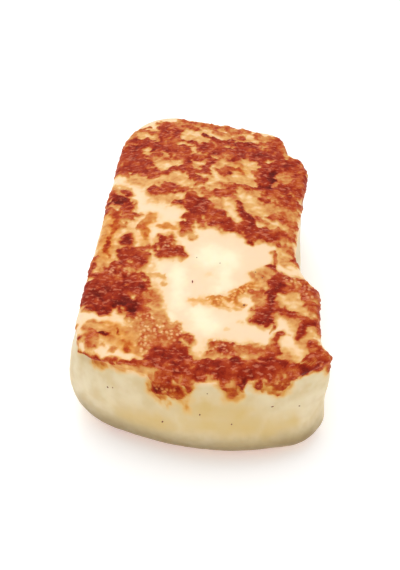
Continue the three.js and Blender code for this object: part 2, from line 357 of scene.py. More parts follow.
# Strokes on the sides that the front view doesn't show
SIDE_STROKES = (
    (33, 28, 39, 27, 3, 0.66, 0.8),
    (33, 20, 38, 19, 3, 0.64, 0.75),
    (31, 12, 35, 11.5, 2, 0.55, 0.75),
    (29, -8, 31, -14, 1.5, 0.36, 0.7),
    (32, -26, 37, -28, 2.6, 0.62, 0.8),
    (33, -48, 38, -50, 2.4, 0.64, 0.8),
    (-25.5, 40, -26.5, 30, 1.8, 0.6, 0.8),
    (-27, 18, -28, 10, 1.8, 0.62, 0.75),
    (-30.5, -12, -32.5, -16, 1.8, 0.6, 0.75),
    (-32, -22, -34.5, -30, 2.4, 0.66, 0.8),
    (-32.5, -38, -33.5, -44, 1.2, 0.4, 0.7),
    (-14, 56, -4, 57, 1.8, 0.5, 0.75),
    (2, 54, 12, 52.5, 2.2, 0.56, 0.75),
    (17, 49, 26, 46.5, 2, 0.52, 0.75),
)
STROKES = (
    *BACK_STROKES,
    *MIDDLE_STROKES,
    *CENTRE_STROKES,
    *LOBE_STROKES,
    *FRONT_STROKES,
    *DRIP_STROKES,
    *SIDE_STROKES,
)

# Round marks: x, y, radius, level
SPOTS = (
    (-1.6, 23.2, 1.3, 0.66), (24, 38.5, 1, 0.84), (21, 36, 0.9, 0.8), (8.8, 26.4, 2.4, 0.7),
    (10.2, 26, 0.8, 0.86), (12.5, 23.5, 1.7, 0.22), (25, 23.2, 1, 1.02), (16.2, 35.4, 1, 0.44),
    (-28.9, 13.2, 0.9, 0.6), (-6.8, 9.5, 0.7, 0.52), (15.6, -5.4, 1.5, 0.7), (3, 12.6, 1.2, 0.52),
    (21.4, -16.6, 1.1, 0.84), (3.8, -19.6, 1.4, 0.17), (-0.5, -30, 1.3, 0.2), (-30, -13.6, 1.9, 0.82),
    (-31.2, -41.6, 0.8, 0.8), (-26.8, -45, 0.7, 0.78), (-22.5, -46, 1, 0.42), (22, -16.8, 1, 0.72),
    (16.3, -32.6, 1.4, 0.66), (18.6, -37.8, 1, 0.98), (20, -39.2, 0.7, 0.66), (24.4, -36.2, 1, 0.42),
    (28.6, -43, 1, 0.42), (12.3, -37.1, 0.9, 0.44), (8, -39.6, 1, 0.22), (2.4, -50.8, 1.5, 0.8),
    (10.6, -50.2, 1.7, 0.78), (8, -54.8, 1.6, 0.84), (11.5, -56, 1.5, 1.0), (31.6, -51.6, 1.1, 0.88),
    (-11.4, -57.8, 1.1, 0.92), (-7.8, -55.4, 1.3, 0.84), (-5.8, -60.2, 0.9, 0.76), (-10.8, -61, 1.2, 0.5),
    (-13.6, -57.6, 0.9, 0.4), (9.4, -60.6, 1.3, 0.46), (19.2, -55.4, 1.4, 0.8), (17.8, -59, 0.9, 0.46),
    (-4.2, -64, 1, 0.34), (-9.5, -63, 1.3, 0.28),
)

# Places that stayed bare inside the browning: x and y of both ends, half width
BARE_STROKES = (
    (-15.6, 41.4, -16.6, 38, 0.9), (-12, 30.9, -6.8, 30.8, 1.2), (-4.8, 46.8, 2.6, 45, 1.6),
    (-3, 49.4, 0.2, 47.6, 1.6), (-5.2, 42.6, -1, 41.2, 0.7), (-1.2, 40, -1.5, 37.2, 0.8),
    (0.2, 31.8, 1, 30, 0.9), (-17, 56.6, -8.6, 58.2, 1.3), (4.8, 49.2, 7.4, 46.6, 1),
    (17.4, 47.8, 19.4, 45, 1.4), (7.8, 41.6, 11, 40, 0.4), (14.4, 31.6, 19, 30.4, 1.1),
    (15.8, 30, 16.2, 24.4, 0.8), (8.3, 31.3, 8.4, 31.2, 1.1), (5.2, 29.4, 5.4, 23, 0.6),
    (23.4, 32.6, 23.5, 32.5, 0.6), (-16, 48.8, -15.8, 47.2, 0.8), (13.6, 14.6, 19.6, 7.4, 1.6),
    (-4.5, 12.9, -4.2, 12.3, 0.9), (9.6, 10.4, 11.8, 3.4, 0.9), (18.2, 1.2, 18.1, 0.6, 0.7),
    (20, 5, 25.6, 0.8, 0.7), (23.6, -29.4, 28, -32.4, 1.6), (-29.4, -20.7, -29.3, -20.6, 0.8),
    (24.4, -45, 26.6, -49.4, 2.1), (-22.6, -33, -22.4, -34.4, 0.6), (-30, -34.8, -21, -35.2, 1),
    (0.6, -47.6, 1.6, -45, 1.4), (-21, -48, -14, -48.8, 0.7), (24.4, -17.4, 27, -18.6, 1.2),
)

# Wide golden tints under and around the crust: x and y of both ends, half width, level
TINTS = (
    (-14, 40, 20, 36, 16, 0.41),
    (-18, 24, 16, 24, 6, 0.32),
    (27, 30, 27, 10, 7, 0.46),
    (25, 8, 27, -14, 4, 0.38),
    (-10, 17, 20, 2, 8, 0.33),
    (8, 18, 24, 8, 6, 0.4),
    (-25, 18, -26, -12, 5, 0.33),
    (-20, 6, -14, -14, 5, 0.24),
    (-26, -18, -16, -30, 8, 0.34),
    (-28, -38, -22, -38, 3.6, 0.36),
    (-28.4, -41, -27.4, -44, 3, 0.4),
    (-23, -39, -16, -45, 5.4, 0.34),
    (-17, -36, -13, -45, 4, 0.34),
    (-12.6, -20, -11.4, -27, 2.4, 0.22),
    (-13, -27, -9, -44, 4.5, 0.38),
    (-10, -50, 24, -50, 5, 0.4),
    (3, -29, 10.5, -29.6, 2.8, 0.24),
    (10.6, -27, 17.6, -25, 3, 0.26),
    (16.6, -20.6, 17.4, -30, 2.6, 0.3),
    (21, -20, 29, -40, 5, 0.39),
    (29, -44, 31, -50, 4, 0.36),
    (-11, -58, -5, -60, 4.4, 0.26),
    (8, -57, 10, -60, 4, 0.28),
    (18, -57, 24, -58, 4, 0.3),
    # painted shade on the wall below the lip
    (-28, -49.6, -14, -52.6, 3, 0.3),
    (-4.2, -63.8, -3.8, -64.6, 2, 0.24),
)

# Painted glare: the palest parts of the bare top, where the top light's highlight falls on the moist curd,
# painted as whiter curd: x and y of both ends, half width
PAINTED_GLARE_STROKES = (
    (4, -12, 8.6, -13, 6), (7.6, -18, 7.6, -23.4, 4), (-5.6, -17, -5.2, -29.6, 3.6),
    (0.2, -33.6, 2.6, -37.6, 4), (-14, -14, -11, -15.4, 2.4), (-10, -32, -7, -34, 2.6),
)

# Blistered crust: x and y of both ends, half width
BLISTERED = (
    (-10.6, -38.8, -6, -40.8, 3), (-13, -37.4, -14.4, -46, 1.7), (-17, -36.6, -12.4, -35.4, 1.8),
    (4.4, -44.6, 8.6, -45.8, 2.2), (3.4, -28.4, 10, -29.2, 2), (29.6, -23.6, 31.4, -28, 1.5),
    (-10.6, -58, -7, -59, 1.3), (10.4, -28.2, 13.6, -24.6, 1.7),
    (-24, -17.6, -20, -17.8, 1.4), (-8.6, -7.4, -7.4, -9.6, 1.4), (21, -57.4, 24, -57.8, 1.6),
    (25.6, -21.4, 28.4, -22.6, 1.3),
)

# Oily yellow parts of the walls and ochre parts of the top: x and y of both ends, half width
OILY_STROKES = (
    (-5, -64, 12, -66.5, 5), (-4, -70, 16, -71, 5.5), (-24, -68, -10, -70, 5), (21, -73, 30, -70, 4),
    (-1, -28.6, 10.5, -29.4, 2.6), (10.6, -27, 15, -23.4, 2.2), (-13.2, 5.2, -15.6, -3.4, 2.6),
    (-10.4, 0.9, -6.6, -0.4, 2.2), (-24.6, 3, -26.4, -11, 2.4), (-23, -37, -18, -46, 3.4),
    (14, 26.6, 13.4, 28, 1.8),
)

# Specks lying on the skin: x, y, length, width, turn in degrees
SPECKS = (
    (-1.1, -21.5, 1.5, 0.55, 95), (16.8, -18.3, 0.8, 0.6, 30), (18.6, -20.8, 1, 0.5, 130),
    (13, -31, 0.9, 0.6, 10), (-27.5, -57.5, 0.8, 0.6, 80), (-25.5, -57.9, 0.6, 0.5, 70),
    (-12, -69, 0.9, 0.6, 15), (0.2, -66, 0.7, 0.5, 60), (21.9, -64.6, 1, 0.5, 40), (31, -64, 0.7, 0.5, 40),
    (6.8, -14.6, 0.6, 0.4, 0), (-0.2, -12.4, 0.6, 0.4, 70), (2.6, -60.4, 0.5, 0.4, 20),
    (10, -70, 0.6, 0.5, 100),
)

# Lip along the front edge, and the groove below it: x and y of both ends, half width
LIP_STROKES = (
    (-32.6, -44.6, -27.3, -47.6, 0.8),
    (-27.3, -47.6, -18.4, -50.6, 0.8),
    (-18.4, -50.6, -11.5, -50.5, 0.7),
)
GROOVE_BELOW = 2.0  # distance from the lip down to the middle of the groove
GROOVE_HALF_WIDTH = 1.1

# Noises that shape the block: size, seed and, where it isn't 3, the number of layers
WIDE_WANDER = ((5.0, 11), (5.0, 23))
NARROW_WANDER = ((1.8, 31, 2), (1.8, 37, 2))
DABS = (2.9, 43, 2)
SPATTER = (1.3, 41, 2)
FINE_CLOUDS = (2.2, 53, 2)
BROAD_CLOUDS = (5.5, 57, 2)
CRUST_LUMPS = (2.1, 61)
CURD_SWELLS = (9, 71)
CURD_GRAIN = (1.6, 77)
UNDER_RIM = (3, 95)
UNDER_CLOUDS = (16, 97)
SPECK_OUTLINE = (1.0, 91)
# Beads and blisters: size and seed of the domes, and of the noises that mix and weaken them
LARGE_BEADS = (3.2, 59)
SMALL_BEADS = (1.8, 67)
BLISTERS = (1.25, 83)
BEAD_MIX = (8, 47)
BEAD_MIX_RANGE = (-0.2, 0.2)
BEAD_STRENGTH = (7, 49)
BEAD_STRENGTH_RANGE = (-0.3, 0.3)
WEAKEST_BEAD = 0.45
NOISE_GAIN = 1.5  # brings noise to about -1 to 1
DOME_PUSH = 0.3  # how far noise pushes a dome's coordinates, as a share of its size
DOME_SPREAD = 0.5  # squared distance from a dome's middle at which it ends

# How strokes are painted
WIDE_PUSH = 1.1  # how far wide noise pushes a stroke's outline
NARROW_PUSH = 0.5
SOFTEST_EDGE = 2.2  # half the width of the widest soft edge
EDGE_SHARE = 0.55  # half the width of a narrow stroke's soft edge, as a share of its half width
EDGE_LEAST = 0.35  # what is added to that
STRENGTH = 4  # power by which overlapping strokes are summed, so that the stronger one leads
HAZE_REACH = 3.4  # how far the golden haze around a stroke spreads at most
HAZE_SPREAD = 1.5  # how far it spreads around a narrow stroke, in half widths
HAZE_FADES = 0.6  # where it starts to fade, in half widths
HAZE_LEVEL = 0.57  # the haze's browning as a share of its stroke's
TINT_STARTS = 0.4  # where a tint starts to fade, in half widths
TINT_ENDS = 1.3
BARE_COVER = 0.75  # share of the cover that a bare stroke takes away
BARE_TINGE = 0.35  # share of the tinge that it takes away
STREAK_TILT = math.radians(10)  # dabs of crust and its painted glints run across the block, turned by this angle
DAB_STRETCH = (0.75, 1.2, 1)  # dabs are longer across the block than along it
DAB_RAGGED = 0.45
SPATTER_RAGGED = 0.3
RAGGED_RANGE = (0.02, 0.3)  # covers from which noise starts and fully counts
CRUST_COVER = (0.08, 0.95)  # covers at which crust starts and is whole
DAB_TINGE = 0.38
SPATTER_TINGE = 0.28
LEVEL_GAIN = 1.04
FINE_VARIETY = 0.13
BROAD_VARIETY = 0.12
VARIETY_RANGE = (0.1, 0.5)  # levels from which the crust's level starts and fully varies

# Browning of the underside
UNDER_LEVEL = 0.55
UNDER_PATCHES = 0.3
UNDER_RAGGED = 0.6
UNDER_FACING = (0.68, 0.96)  # how far a face has to look down to start to be browned and to be fully browned
UNDER_EDGE = (0.1, 0.8)

# Relief of the skin in millimetres, and the browning at which it starts and is complete
CRUST_UNEVENNESS = 0.3
CURD_UNEVENNESS = 0.16
CURD_GRAIN_HEIGHT = 0.04
CHAR_SUNK = 0.15
BEAD_HEIGHT = 0.3
RAISED_RANGE = (0.2, 0.6)
CHARRED_RANGE = (0.9, 1.05)
DRIP_RANGE = (0.3, 2)  # distances down the wall at which drips start and fully stand out
RELIEF_HEIGHTS = (1, 6)  # heights above the floor at which relief starts and is complete

# Zones of the walls
WALL_RANGE = (1, 4)  # distances from the top edge at which the wall's colour starts and is complete
LOWER_WALL_HEIGHT = 18  # height up to which the wall turns yellower towards the bottom
# Painted shade: the foot of the walls is darkened in its colour, most on faces that look forwards, as shade
# where the wall curves in towards the floor
FOOT_SHADE_HEIGHTS = (21, 15.5)  # heights up to which the painted shade of the foot fades, left and right
FOOT_SHADE_STARTS = 4  # height below which the painted shade is darkest
FOOT_SHADE_BEHIND = 0.2  # how dark the painted shade is at the sides and the back, as a share of the front's
FRONT_FACING = (0.2, 0.8)  # how far a face has to look forwards to start to take the front's painted shade and to take all of it

# The underside lies out of every stroke's reach.
FAR_DROP = 99
FAR_SKIN = 999

# Hash of lattice cells
CELL_STEPS = (374761393, 668265263, 1440662683)
SEED_STEP = 1274126177
HASH_STEP = 1103515245
HASH_SHIFTS = (13, 16)
HASH_MASK = 0xFFFFFFFF
HASH_KEPT = 0x3FFFFFFF
FIELD_BITS = 10  # a hash holds three numbers of this many bits
FIELD_MASK = 2**FIELD_BITS - 1
TINY = 1e-9  # keeps divisions from zero


def smooth(value, low, high):
    """0 below low, 1 above high, and an S-curve between them."""
    t = np.clip((value - low) / (high - low), 0, 1)
    return t * t * (3 - 2 * t)


def between(low, high, share):
    return low + (high - low) * share


def left_to_right(pair, across):
    """Between a left and a right value, at a place across from -1 to 1."""
    return between(pair[0], pair[1], (across + 1) / 2)


def lattice_hash(cell, seed):
    """A whole number of 30 bits for each lattice cell, well mixed and the same each run."""
    mixed = (cell @ np.array(CELL_STEPS) + seed * SEED_STEP) & HASH_MASK
    mixed = (mixed ^ (mixed >> HASH_SHIFTS[0])) * HASH_STEP & HASH_MASK
    return (mixed ^ (mixed >> HASH_SHIFTS[1])) & HASH_KEPT


def noise(points, size, seed):
    """Gradient noise from about -1 to 1: each lattice corner has a random slope, and they blend smoothly."""
    places = points / size
    cell = np.floor(places).astype(np.int64)
    inside = places - cell
    fade = inside**3 * (inside * (inside * 6 - 15) + 10)
    total = np.zeros(len(points))
    for corner in np.ndindex(2, 2, 2):
        step = np.array(corner)
        mixed = lattice_hash(cell + step, seed)
        turn = (mixed & FIELD_MASK) * (2 * math.pi / 2**FIELD_BITS)
        up = ((mixed >> FIELD_BITS) & FIELD_MASK) / (FIELD_MASK / 2) - 1
        flat = np.sqrt(np.maximum(0, 1 - up * up))
        slope = np.stack([flat * np.cos(turn), flat * np.sin(turn), up], 1)
        weight = np.prod(np.where(step == 1, fade, 1 - fade), 1)
        total += weight * np.sum(slope * (inside - step), 1)
    return total * NOISE_GAIN


def clouds(points, size, seed, layers=3):
    """Layers of gradient noise, each half the size and half the height of the one before."""
    return sum(noise(points, size / 2**k, seed + k) / 2**k for k in range(layers))


def domes(points, size, seed):
    """Round domes from 0 to 1 packed side by side.

    A dome is 1 less the squared distance to the nearest scattered point, as a share of the dome's spread.
    """
    places = points / size
    cell = np.floor(places).astype(np.int64)
    nearest = np.full(len(points), np.inf)
    for corner in np.ndindex(3, 3, 3):
        here = cell + np.array(corner) - 1
        mixed = lattice_hash(here, seed)
        fields = [(mixed >> FIELD_BITS * number) & FIELD_MASK for number in range(3)]
        scatter = np.stack(fields, 1) / FIELD_MASK
        nearest = np.minimum(nearest, np.sum((places - here - scatter) ** 2, 1))
    return np.clip(1 - nearest / DOME_SPREAD, 0, 1)


def uneven_domes(points, size, seed):
    """Domes whose coordinates are pushed about by noise, so that they aren't round."""
    push = np.stack([noise(points, size, seed + k) for k in range(1, 4)], -1)
    return domes(points + DOME_PUSH * size * push, size, seed)


def crust_beads(points):
    """Small beads in some places, large ones in others, and less of both where the crust is smooth."""
    small = smooth(noise(points, *BEAD_MIX), *BEAD_MIX_RANGE)
    strength = between(WEAKEST_BEAD, 1, smooth(noise(points, *BEAD_STRENGTH), *BEAD_STRENGTH_RANGE))
    large_beads = uneven_domes(points, *LARGE_BEADS)
    small_beads = uneven_domes(points, *SMALL_BEADS)
    return between(large_beads, small_beads, small) * strength


def plan_point(a, b, inset):
    """A square's point on the rounded rectangle set in by some distance, and its depth inside the outline.

    The point is split into its part inside the corner circles' centres and the rest, and the rest is
    shortened from the square's reach to the circle's.
    """
    to_right = smooth(a, -RADII_MEET, RADII_MEET)
    front = between(*FRONT_CORNER_RADII, to_right)
    back = between(*BACK_CORNER_RADII, to_right)
    radius = between(front, back, smooth(b, -RADII_MEET, RADII_MEET))
    core_x = np.clip(a * HALF_WIDTH, radius - HALF_WIDTH, HALF_WIDTH - radius)
    core_y = np.clip(b * HALF_LENGTH, radius - HALF_LENGTH, HALF_LENGTH - radius)
    out_x = a * HALF_WIDTH - core_x
    out_y = b * HALF_LENGTH - core_y
    reach = np.maximum(np.abs(out_x), np.abs(out_y)) * (1 - inset / radius)
    share = reach / np.maximum(np.hypot(out_x, out_y), TINY)
    return core_x + out_x * share, core_y + out_y * share, radius - reach


def edge_inset(turn, radius):
    """How far a rounded edge is set in from the wall, after a turn away from it."""
    return radius * (1 - np.cos(turn))


def edge_fall(depth, radius):
    """How far a rounded edge has fallen away from its flat face, at a depth inside the outline."""
    short = np.maximum(0, radius - depth)
    return radius - np.sqrt(radius * radius - short * short)


def slab_top(a, b):
    """Points of the slab's top face, for places a across and b along from -1 to 1."""
    x, y, depth = plan_point(a, b, edge_inset(HALF_EDGE, TOP_EDGE_RADIUS))
    return np.stack([x, y, HEIGHT - edge_fall(depth, TOP_EDGE_RADIUS)], -1)


def slab_base(a, b):
    """Points of the slab's underside, for places a across and b along from -1 to 1."""
    radius = left_to_right(BASE_EDGE_RADII, a)
    x, y, depth = plan_point(a, b, edge_inset(HALF_EDGE, radius))
    return np.stack([x, y, edge_fall(depth, radius)], -1)


def slab_wall(a, b, down):
    """Points of the slab's wall: half of the top edge, a straight stretch, then half of the base edge."""
    radius = left_to_right(BASE_EDGE_RADII, a)
    top_turn = HALF_EDGE * (1 - np.clip(down / WALL_STARTS, 0, 1))
    base_turn = HALF_EDGE * np.clip((down - WALL_ENDS) / (1 - WALL_ENDS), 0, 1)
    share = np.clip((down - WALL_STARTS) / (WALL_ENDS - WALL_STARTS), 0, 1)
    straight = between(HEIGHT - TOP_EDGE_RADIUS, radius, share)
    z = straight + TOP_EDGE_RADIUS * np.sin(top_turn) - radius * np.sin(base_turn)
    inset = edge_inset(top_turn, TOP_EDGE_RADIUS) + edge_inset(base_turn, radius)
    x, y, _ = plan_point(a, b, inset)
    return np.stack([x, y, z], -1)


def bell(along, place, reach, fade_back, fade_front):
    """A bell along the block with its own width on each side."""
    away = (along - place) / np.where(along > place, fade_back, fade_front)
    return reach * np.exp(-away * away)


def bend_to_cheese(slab):
    """Slab points bent to the cheese.

    Lengthways they lie between a bowed front with a swollen wall and a slanted back. Across, the block
    narrows to the back, has bells of crust added down its right edge and swells at the front corners. The
    top gets a crown and two waves, and the wall is drawn in just below the fried edge.
    """
    u = slab[:, 0] / HALF_WIDTH
    v = slab[:, 1] / HALF_LENGTH
    w = slab[:, 2] / HEIGHT
    to_back = (v + 1) / 2
    out = np.minimum(w / left_to_right(BELLY_FOOT, u), 1)
    belly = (1 - w) * np.sin(out * math.pi / 2)

    front = -HALF_LENGTH - FRONT_BOW * (1 - u * u) - FRONT_LEAD * u
    back = HALF_LENGTH + BACK_BOW * (1 - u * u) - BACK_SLANT * (1 + u)
    fullness = 1 - FRONT_BELLY_FADE * u * u + FRONT_BELLY_LEAN * u
    y = between(front, back, to_back) - FRONT_BELLY * belly * fullness * smooth(-v, FRONT_BELLY_FROM, 1)

    straight = u * between(FRONT_WIDTH, BACK_WIDTH, to_back) / 2 + BACK_SHIFT * to_back
    reach = sum(bell(y, *lobe) for lobe in RIGHT_EDGE)
    lobes = reach * between(LOBE_ROOT, 1, smooth(w, *LOBE_RISE)) * smooth(u, LOBES_FROM, 1)
    corner = np.where(u < 0, *CORNER_BELLY) * smooth(-v, CORNER_BELLY_FROM, 1)
    swell = np.sign(u) * belly * (SIDE_BELLY + corner) * smooth(np.abs(u), SIDE_BELLY_FROM, 1)
    x = straight + lobes + swell

    waves = sum(np.sin(across * u + along * v + start) for across, along, start in WAVES)
    relief = TOP_CROWN * (1 - u * u) * (1 - v * v) - BACK_SAG * smooth(v, 0, 1) + WAVE_HEIGHT * waves
    z = slab[:, 2] + relief * w * w

    below = HEIGHT - slab[:, 2]
    under_crust = smooth(below, CRUST_THICKNESS / 2, CRUST_THICKNESS)
    drawn = under_crust * (1 - smooth(below, CRUST_THICKNESS, UNDERCUT_FOOT))
    drawn = CRUST_OVERHANG * drawn * smooth(np.maximum(np.abs(u), np.abs(v)), UNDERCUT_FROM, 1)
    length = np.maximum(np.hypot(u, v), TINY)
    return np.stack([x - drawn * u / length, y - drawn * v / length, z], -1)


def fit_box(points):
    """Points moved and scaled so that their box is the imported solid's, in millimetres."""
    low, high = (np.array(corner) / MM for corner in BLOCK_BOX)
    least = points.min(0)
    return low + (points - least) * (high - low) / (points.max(0) - least)


def rim_walk(across, along):
    """Indices of a grid's outer points in order, anticlockwise seen from above, rows running along x."""
    index = np.arange((along + 1) * (across + 1)).reshape(along + 1, across + 1)
    return np.concatenate([index[0, :-1], index[:-1, -1], index[-1, :0:-1], index[:0:-1, 0]])


def quads_between(first, second):
    """Faces between two closed loops of points, the first one lying above or outside the second."""
    return np.stack([first, second, np.roll(second, -1), np.roll(first, -1)], -1)


def block_surface():
    """The closed skin as points, quads, triangles and the wall loops.

    The top is a grid of two parameters from -1 to 1. The wall carries the grid's rim down in loops, and the
    underside draws the last loop in, ring by ring, to one middle point.
    """
    a, b = np.meshgrid(np.linspace(-1, 1, TOP_ACROSS + 1), np.linspace(-1, 1, TOP_ALONG + 1))
    a, b = a.ravel(), b.ravel()
    rim = rim_walk(TOP_ACROSS, TOP_ALONG)
    rim_count = len(rim)
    rows = np.arange(1, WALL_ROWS[0][-1] + 1)
    down = np.repeat(np.interp(rows, *WALL_ROWS), rim_count)
    wall = slab_wall(np.tile(a[rim], len(rows)), np.tile(b[rim], len(rows)), down)
    shares = np.repeat(np.linspace(1, 0, BASE_RINGS + 1)[1:-1], rim_count)
    rings = BASE_RINGS - 1
    base = slab_base(np.tile(a[rim], rings) * shares, np.tile(b[rim], rings) * shares)
    middle = slab_base(np.zeros(1), np.zeros(1))
    points = fit_box(bend_to_cheese(np.concatenate([slab_top(a, b), wall, base, middle])))

    top_count = len(a)
    index = np.arange(top_count).reshape(TOP_ALONG + 1, TOP_ACROSS + 1)
    corners = (index[:-1, :-1], index[:-1, 1:], index[1:, 1:], index[1:, :-1])
    top_quads = np.stack(corners, -1).reshape(-1, 4)
    loops = np.concatenate([rim, np.arange(top_count, len(points) - 1)]).reshape(-1, rim_count)
    bands = [quads_between(upper, lower) for upper, lower in zip(loops[:-1], loops[1:])]
    last = loops[-1]
    fan = np.stack([last, np.full(rim_count, len(points) - 1), np.roll(last, -1)], -1)
    return points, np.concatenate([top_quads, *bands]), fan, loops[: len(rows) + 1]


def surface_normals(points, quads):
    """Unit normals at the points: each quad adds the cross product of its diagonals to its four corners."""
    crossed = np.cross(points[quads[:, 2]] - points[quads[:, 0]], points[quads[:, 3]] - points[quads[:, 1]])
    normals = np.zeros_like(points)
    for corner in range(4):
        np.add.at(normals, quads[:, corner], crossed)
    return normals / np.maximum(np.linalg.norm(normals, axis=1, keepdims=True), TINY)


def unfold(points, loops):
    """Skin coordinates in x and y, and the distance down the wall.

    A top point keeps its own x and y. A wall point takes its rim point's, moved straight outwards by the
    distance down the wall. The underside is put far away, so no stroke reaches it.
    """
    skin = points[:, :2].copy()
    drop = np.zeros(len(points))
    rim = points[loops[0], :2]
    along = np.roll(rim, -1, 0) - np.roll(rim, 1, 0)
    out = np.stack([along[:, 1], -along[:, 0]], -1)
    out /= np.linalg.norm(out, axis=1, keepdims=True)
    steps = np.linalg.norm(np.diff(points[loops], axis=0), axis=2)
    fallen = np.concatenate([np.zeros((1, len(rim))), np.cumsum(steps, 0)])
    drop[loops] = fallen
    skin[loops] = rim + out * fallen[:, :, None]
    first_base = loops[-1, -1] + 1
    drop[first_base:] = FAR_DROP
    skin[first_base:] = FAR_SKIN
    return skin, drop


def stroke_distance(skin, ends):
    """Distance from each place on the skin to the straight line between a stroke's ends."""
    start = np.array(ends[:2])
    way = np.array(ends[2:]) - start
    share = np.clip((skin - start) @ way / max(way @ way, TINY), 0, 1)
    return np.linalg.norm(skin - start - share[:, None] * way, axis=1)


def soft_edge(away, half_width):
    """1 inside a stroke and 0 outside it, with a soft edge that narrow strokes have less of."""
    soft = min(SOFTEST_EDGE, EDGE_SHARE * half_width + EDGE_LEAST)
    return 1 - smooth(away, half_width - soft, half_width + soft)


def stroke_cover(skin, ends, half_width):
    return soft_edge(stroke_distance(skin, ends), half_width)


def most_cover(skin, strokes):
    """The greatest cover that any of the strokes has at each place."""
    covers = [stroke_cover(skin, stroke[:4], stroke[4]) for stroke in strokes]
    return np.max(covers, 0)


def glow(skin, strokes):
    """1 on the strokes, fading around each in a bell as wide as the stroke."""
    bells = [np.exp(-((stroke_distance(skin, stroke[:4]) / stroke[4]) ** 2)) for stroke in strokes]
    return np.max(bells, 0)


def wandering(points, skin):
    """Skin coordinates pushed about by wide and narrow noise, so that strokes get uneven outlines."""
    wide = np.stack([clouds(points, *kind) for kind in WIDE_WANDER], -1)
    narrow = np.stack([clouds(points, *kind) for kind in NARROW_WANDER], -1)
    return skin + WIDE_PUSH * wide + NARROW_PUSH * narrow


def turn_matrix(angle):
    """Turns row vectors about the z axis."""
    across, along = math.cos(angle), math.sin(angle)
    return np.array([[across, along, 0], [-along, across, 0], [0, 0, 1]])


def browning_field(points, skin):
    """How brown the skin is, from 0 for bare curd to about 1.1 for char.

    Strokes are summed to a cover and a mean level on slightly wandering coordinates. Bare strokes take cover
    away. Noise then decides where the cover is enough for crust, which leaves ragged edges and islands.
    """
    place = wandering(points, skin)
    covers = np.zeros(len(points))
    levels = np.zeros(len(points))
    haze = np.zeros(len(points))
    spots = tuple((x, y, x, y, radius, level, 1) for x, y, radius, level in SPOTS)
    for x1, y1, x2, y2, half_width, level, cover in STROKES + spots:
        away = stroke_distance(place, (x1, y1, x2, y2))
        weight = (cover * soft_edge(away, half_width)) ** STRENGTH
        covers += weight
        levels += weight * level
        reach = half_width + min(HAZE_REACH, HAZE_SPREAD * half_width)
        haze = np.maximum(haze, level * cover * (1 - smooth(away, HAZE_FADES * half_width, reach)))
    level = levels / np.maximum(covers, TINY)
    cover = np.minimum(covers ** (1 / STRENGTH), 1)
    bare = most_cover(place, BARE_STROKES)
    cover *= 1 - BARE_COVER * bare

    dabs = clouds(points @ turn_matrix(STREAK_TILT) * np.array(DAB_STRETCH), *DABS)
    spatter = clouds(points, *SPATTER)
    ragged = cover + (DAB_RAGGED * dabs + SPATTER_RAGGED * spatter) * smooth(cover, *RAGGED_RANGE)
    crust = smooth(ragged, *CRUST_COVER)
    variety = FINE_VARIETY * clouds(points, *FINE_CLOUDS) + BROAD_VARIETY * clouds(points, *BROAD_CLOUDS)
    tinge = HAZE_LEVEL * haze
    for x1, y1, x2, y2, half_width, tint in TINTS:
        away = stroke_distance(place, (x1, y1, x2, y2))
        faded = smooth(away, TINT_STARTS * half_width, TINT_ENDS * half_width)
        tinge = np.maximum(tinge, tint * (1 - faded))
    tinge *= (1 + DAB_TINGE * dabs + SPATTER_TINGE * spatter) * (1 - BARE_TINGE * bare)
    brown = (LEVEL_GAIN * level + variety * smooth(level, *VARIETY_RANGE)) * crust
    return np.maximum(np.maximum(brown, tinge), 0)


def under_browning(points, normals):
    """Browning of the fried underside: wide clouds about an even level, with a ragged rim."""
    down = smooth(-normals[:, 2], *UNDER_FACING)
    ragged = down * (1 + UNDER_RAGGED * clouds(points, *UNDER_RIM))
    return smooth(ragged, *UNDER_EDGE) * (UNDER_LEVEL + UNDER_PATCHES * clouds(points, *UNDER_CLOUDS))


def relief_field(points, skin, drop, browning, bead, bubble, sizes):
    """How far the skin stands out of the block's plain form, in millimetres.

    The crust is raised, lumpy and beaded, blisters are packed domes on it, and char is sunk. Drips stand
    out of the front wall, a lip runs along the front edge with a groove below it, and bare curd is gently
    uneven. All of it fades away at the foot, so that the block still stands flat.
    """
    crust = smooth(browning, *RAISED_RANGE)
    height = crust * (sizes.crust_height / MM + CRUST_UNEVENNESS * clouds(points, *CRUST_LUMPS))
    height += CURD_UNEVENNESS * clouds(points, *CURD_SWELLS) + CURD_GRAIN_HEIGHT * noise(points, *CURD_GRAIN)
    height -= CHAR_SUNK * smooth(browning, *CHARRED_RANGE)
    height += BEAD_HEIGHT * crust * bead
    height += sizes.blister_height / MM * bubble
    height += sizes.drip_height / MM * most_cover(skin, DRIP_STROKES) * smooth(drop, *DRIP_RANGE)
    height += sizes.lip_height / MM * most_cover(skin, LIP_STROKES)
    below = skin + np.array([0, GROOVE_BELOW])
    groove = [(*stroke[:4], GROOVE_HALF_WIDTH) for stroke in LIP_STROKES]
    height -= sizes.lip_height / MM * most_cover(below, groove)
    return height * smooth(points[:, 2], *RELIEF_HEIGHTS)


def add_piece(name, points, faces, material):
    """A smooth mesh object with its place in its mesh, riding on the block's body."""
    mesh = bpy.data.meshes.new(name)
    mesh.from_pydata((points * MM).tolist(), [], faces)
    mesh.polygons.foreach_set("use_smooth", np.ones(len(mesh.polygons), bool))
    mesh.materials.append(material)
    piece = bpy.data.objects.new(name, mesh)
    bpy.context.scene.collection.objects.link(piece)
    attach(piece, BODY)
    return piece


def add_attribute(piece, name, values, kind="FLOAT", field="value"):
    attribute = piece.data.attributes.new(name, kind, "POINT")
    attribute.data.foreach_set(field, values.astype(np.float32).ravel())


# Crust colours by depth of browning
RAMP_REACH = 1.2
CRUST_STOPS = (
    (0.0, "cream"),
    (0.15, "straw"),
    (0.28, "golden"),
    (0.4, "amber"),
    (0.53, "rust"),
    (0.68, "red_brown"),
    (0.84, "dark"),
    (1.0, "char"),
    (RAMP_REACH, "soot"),
)

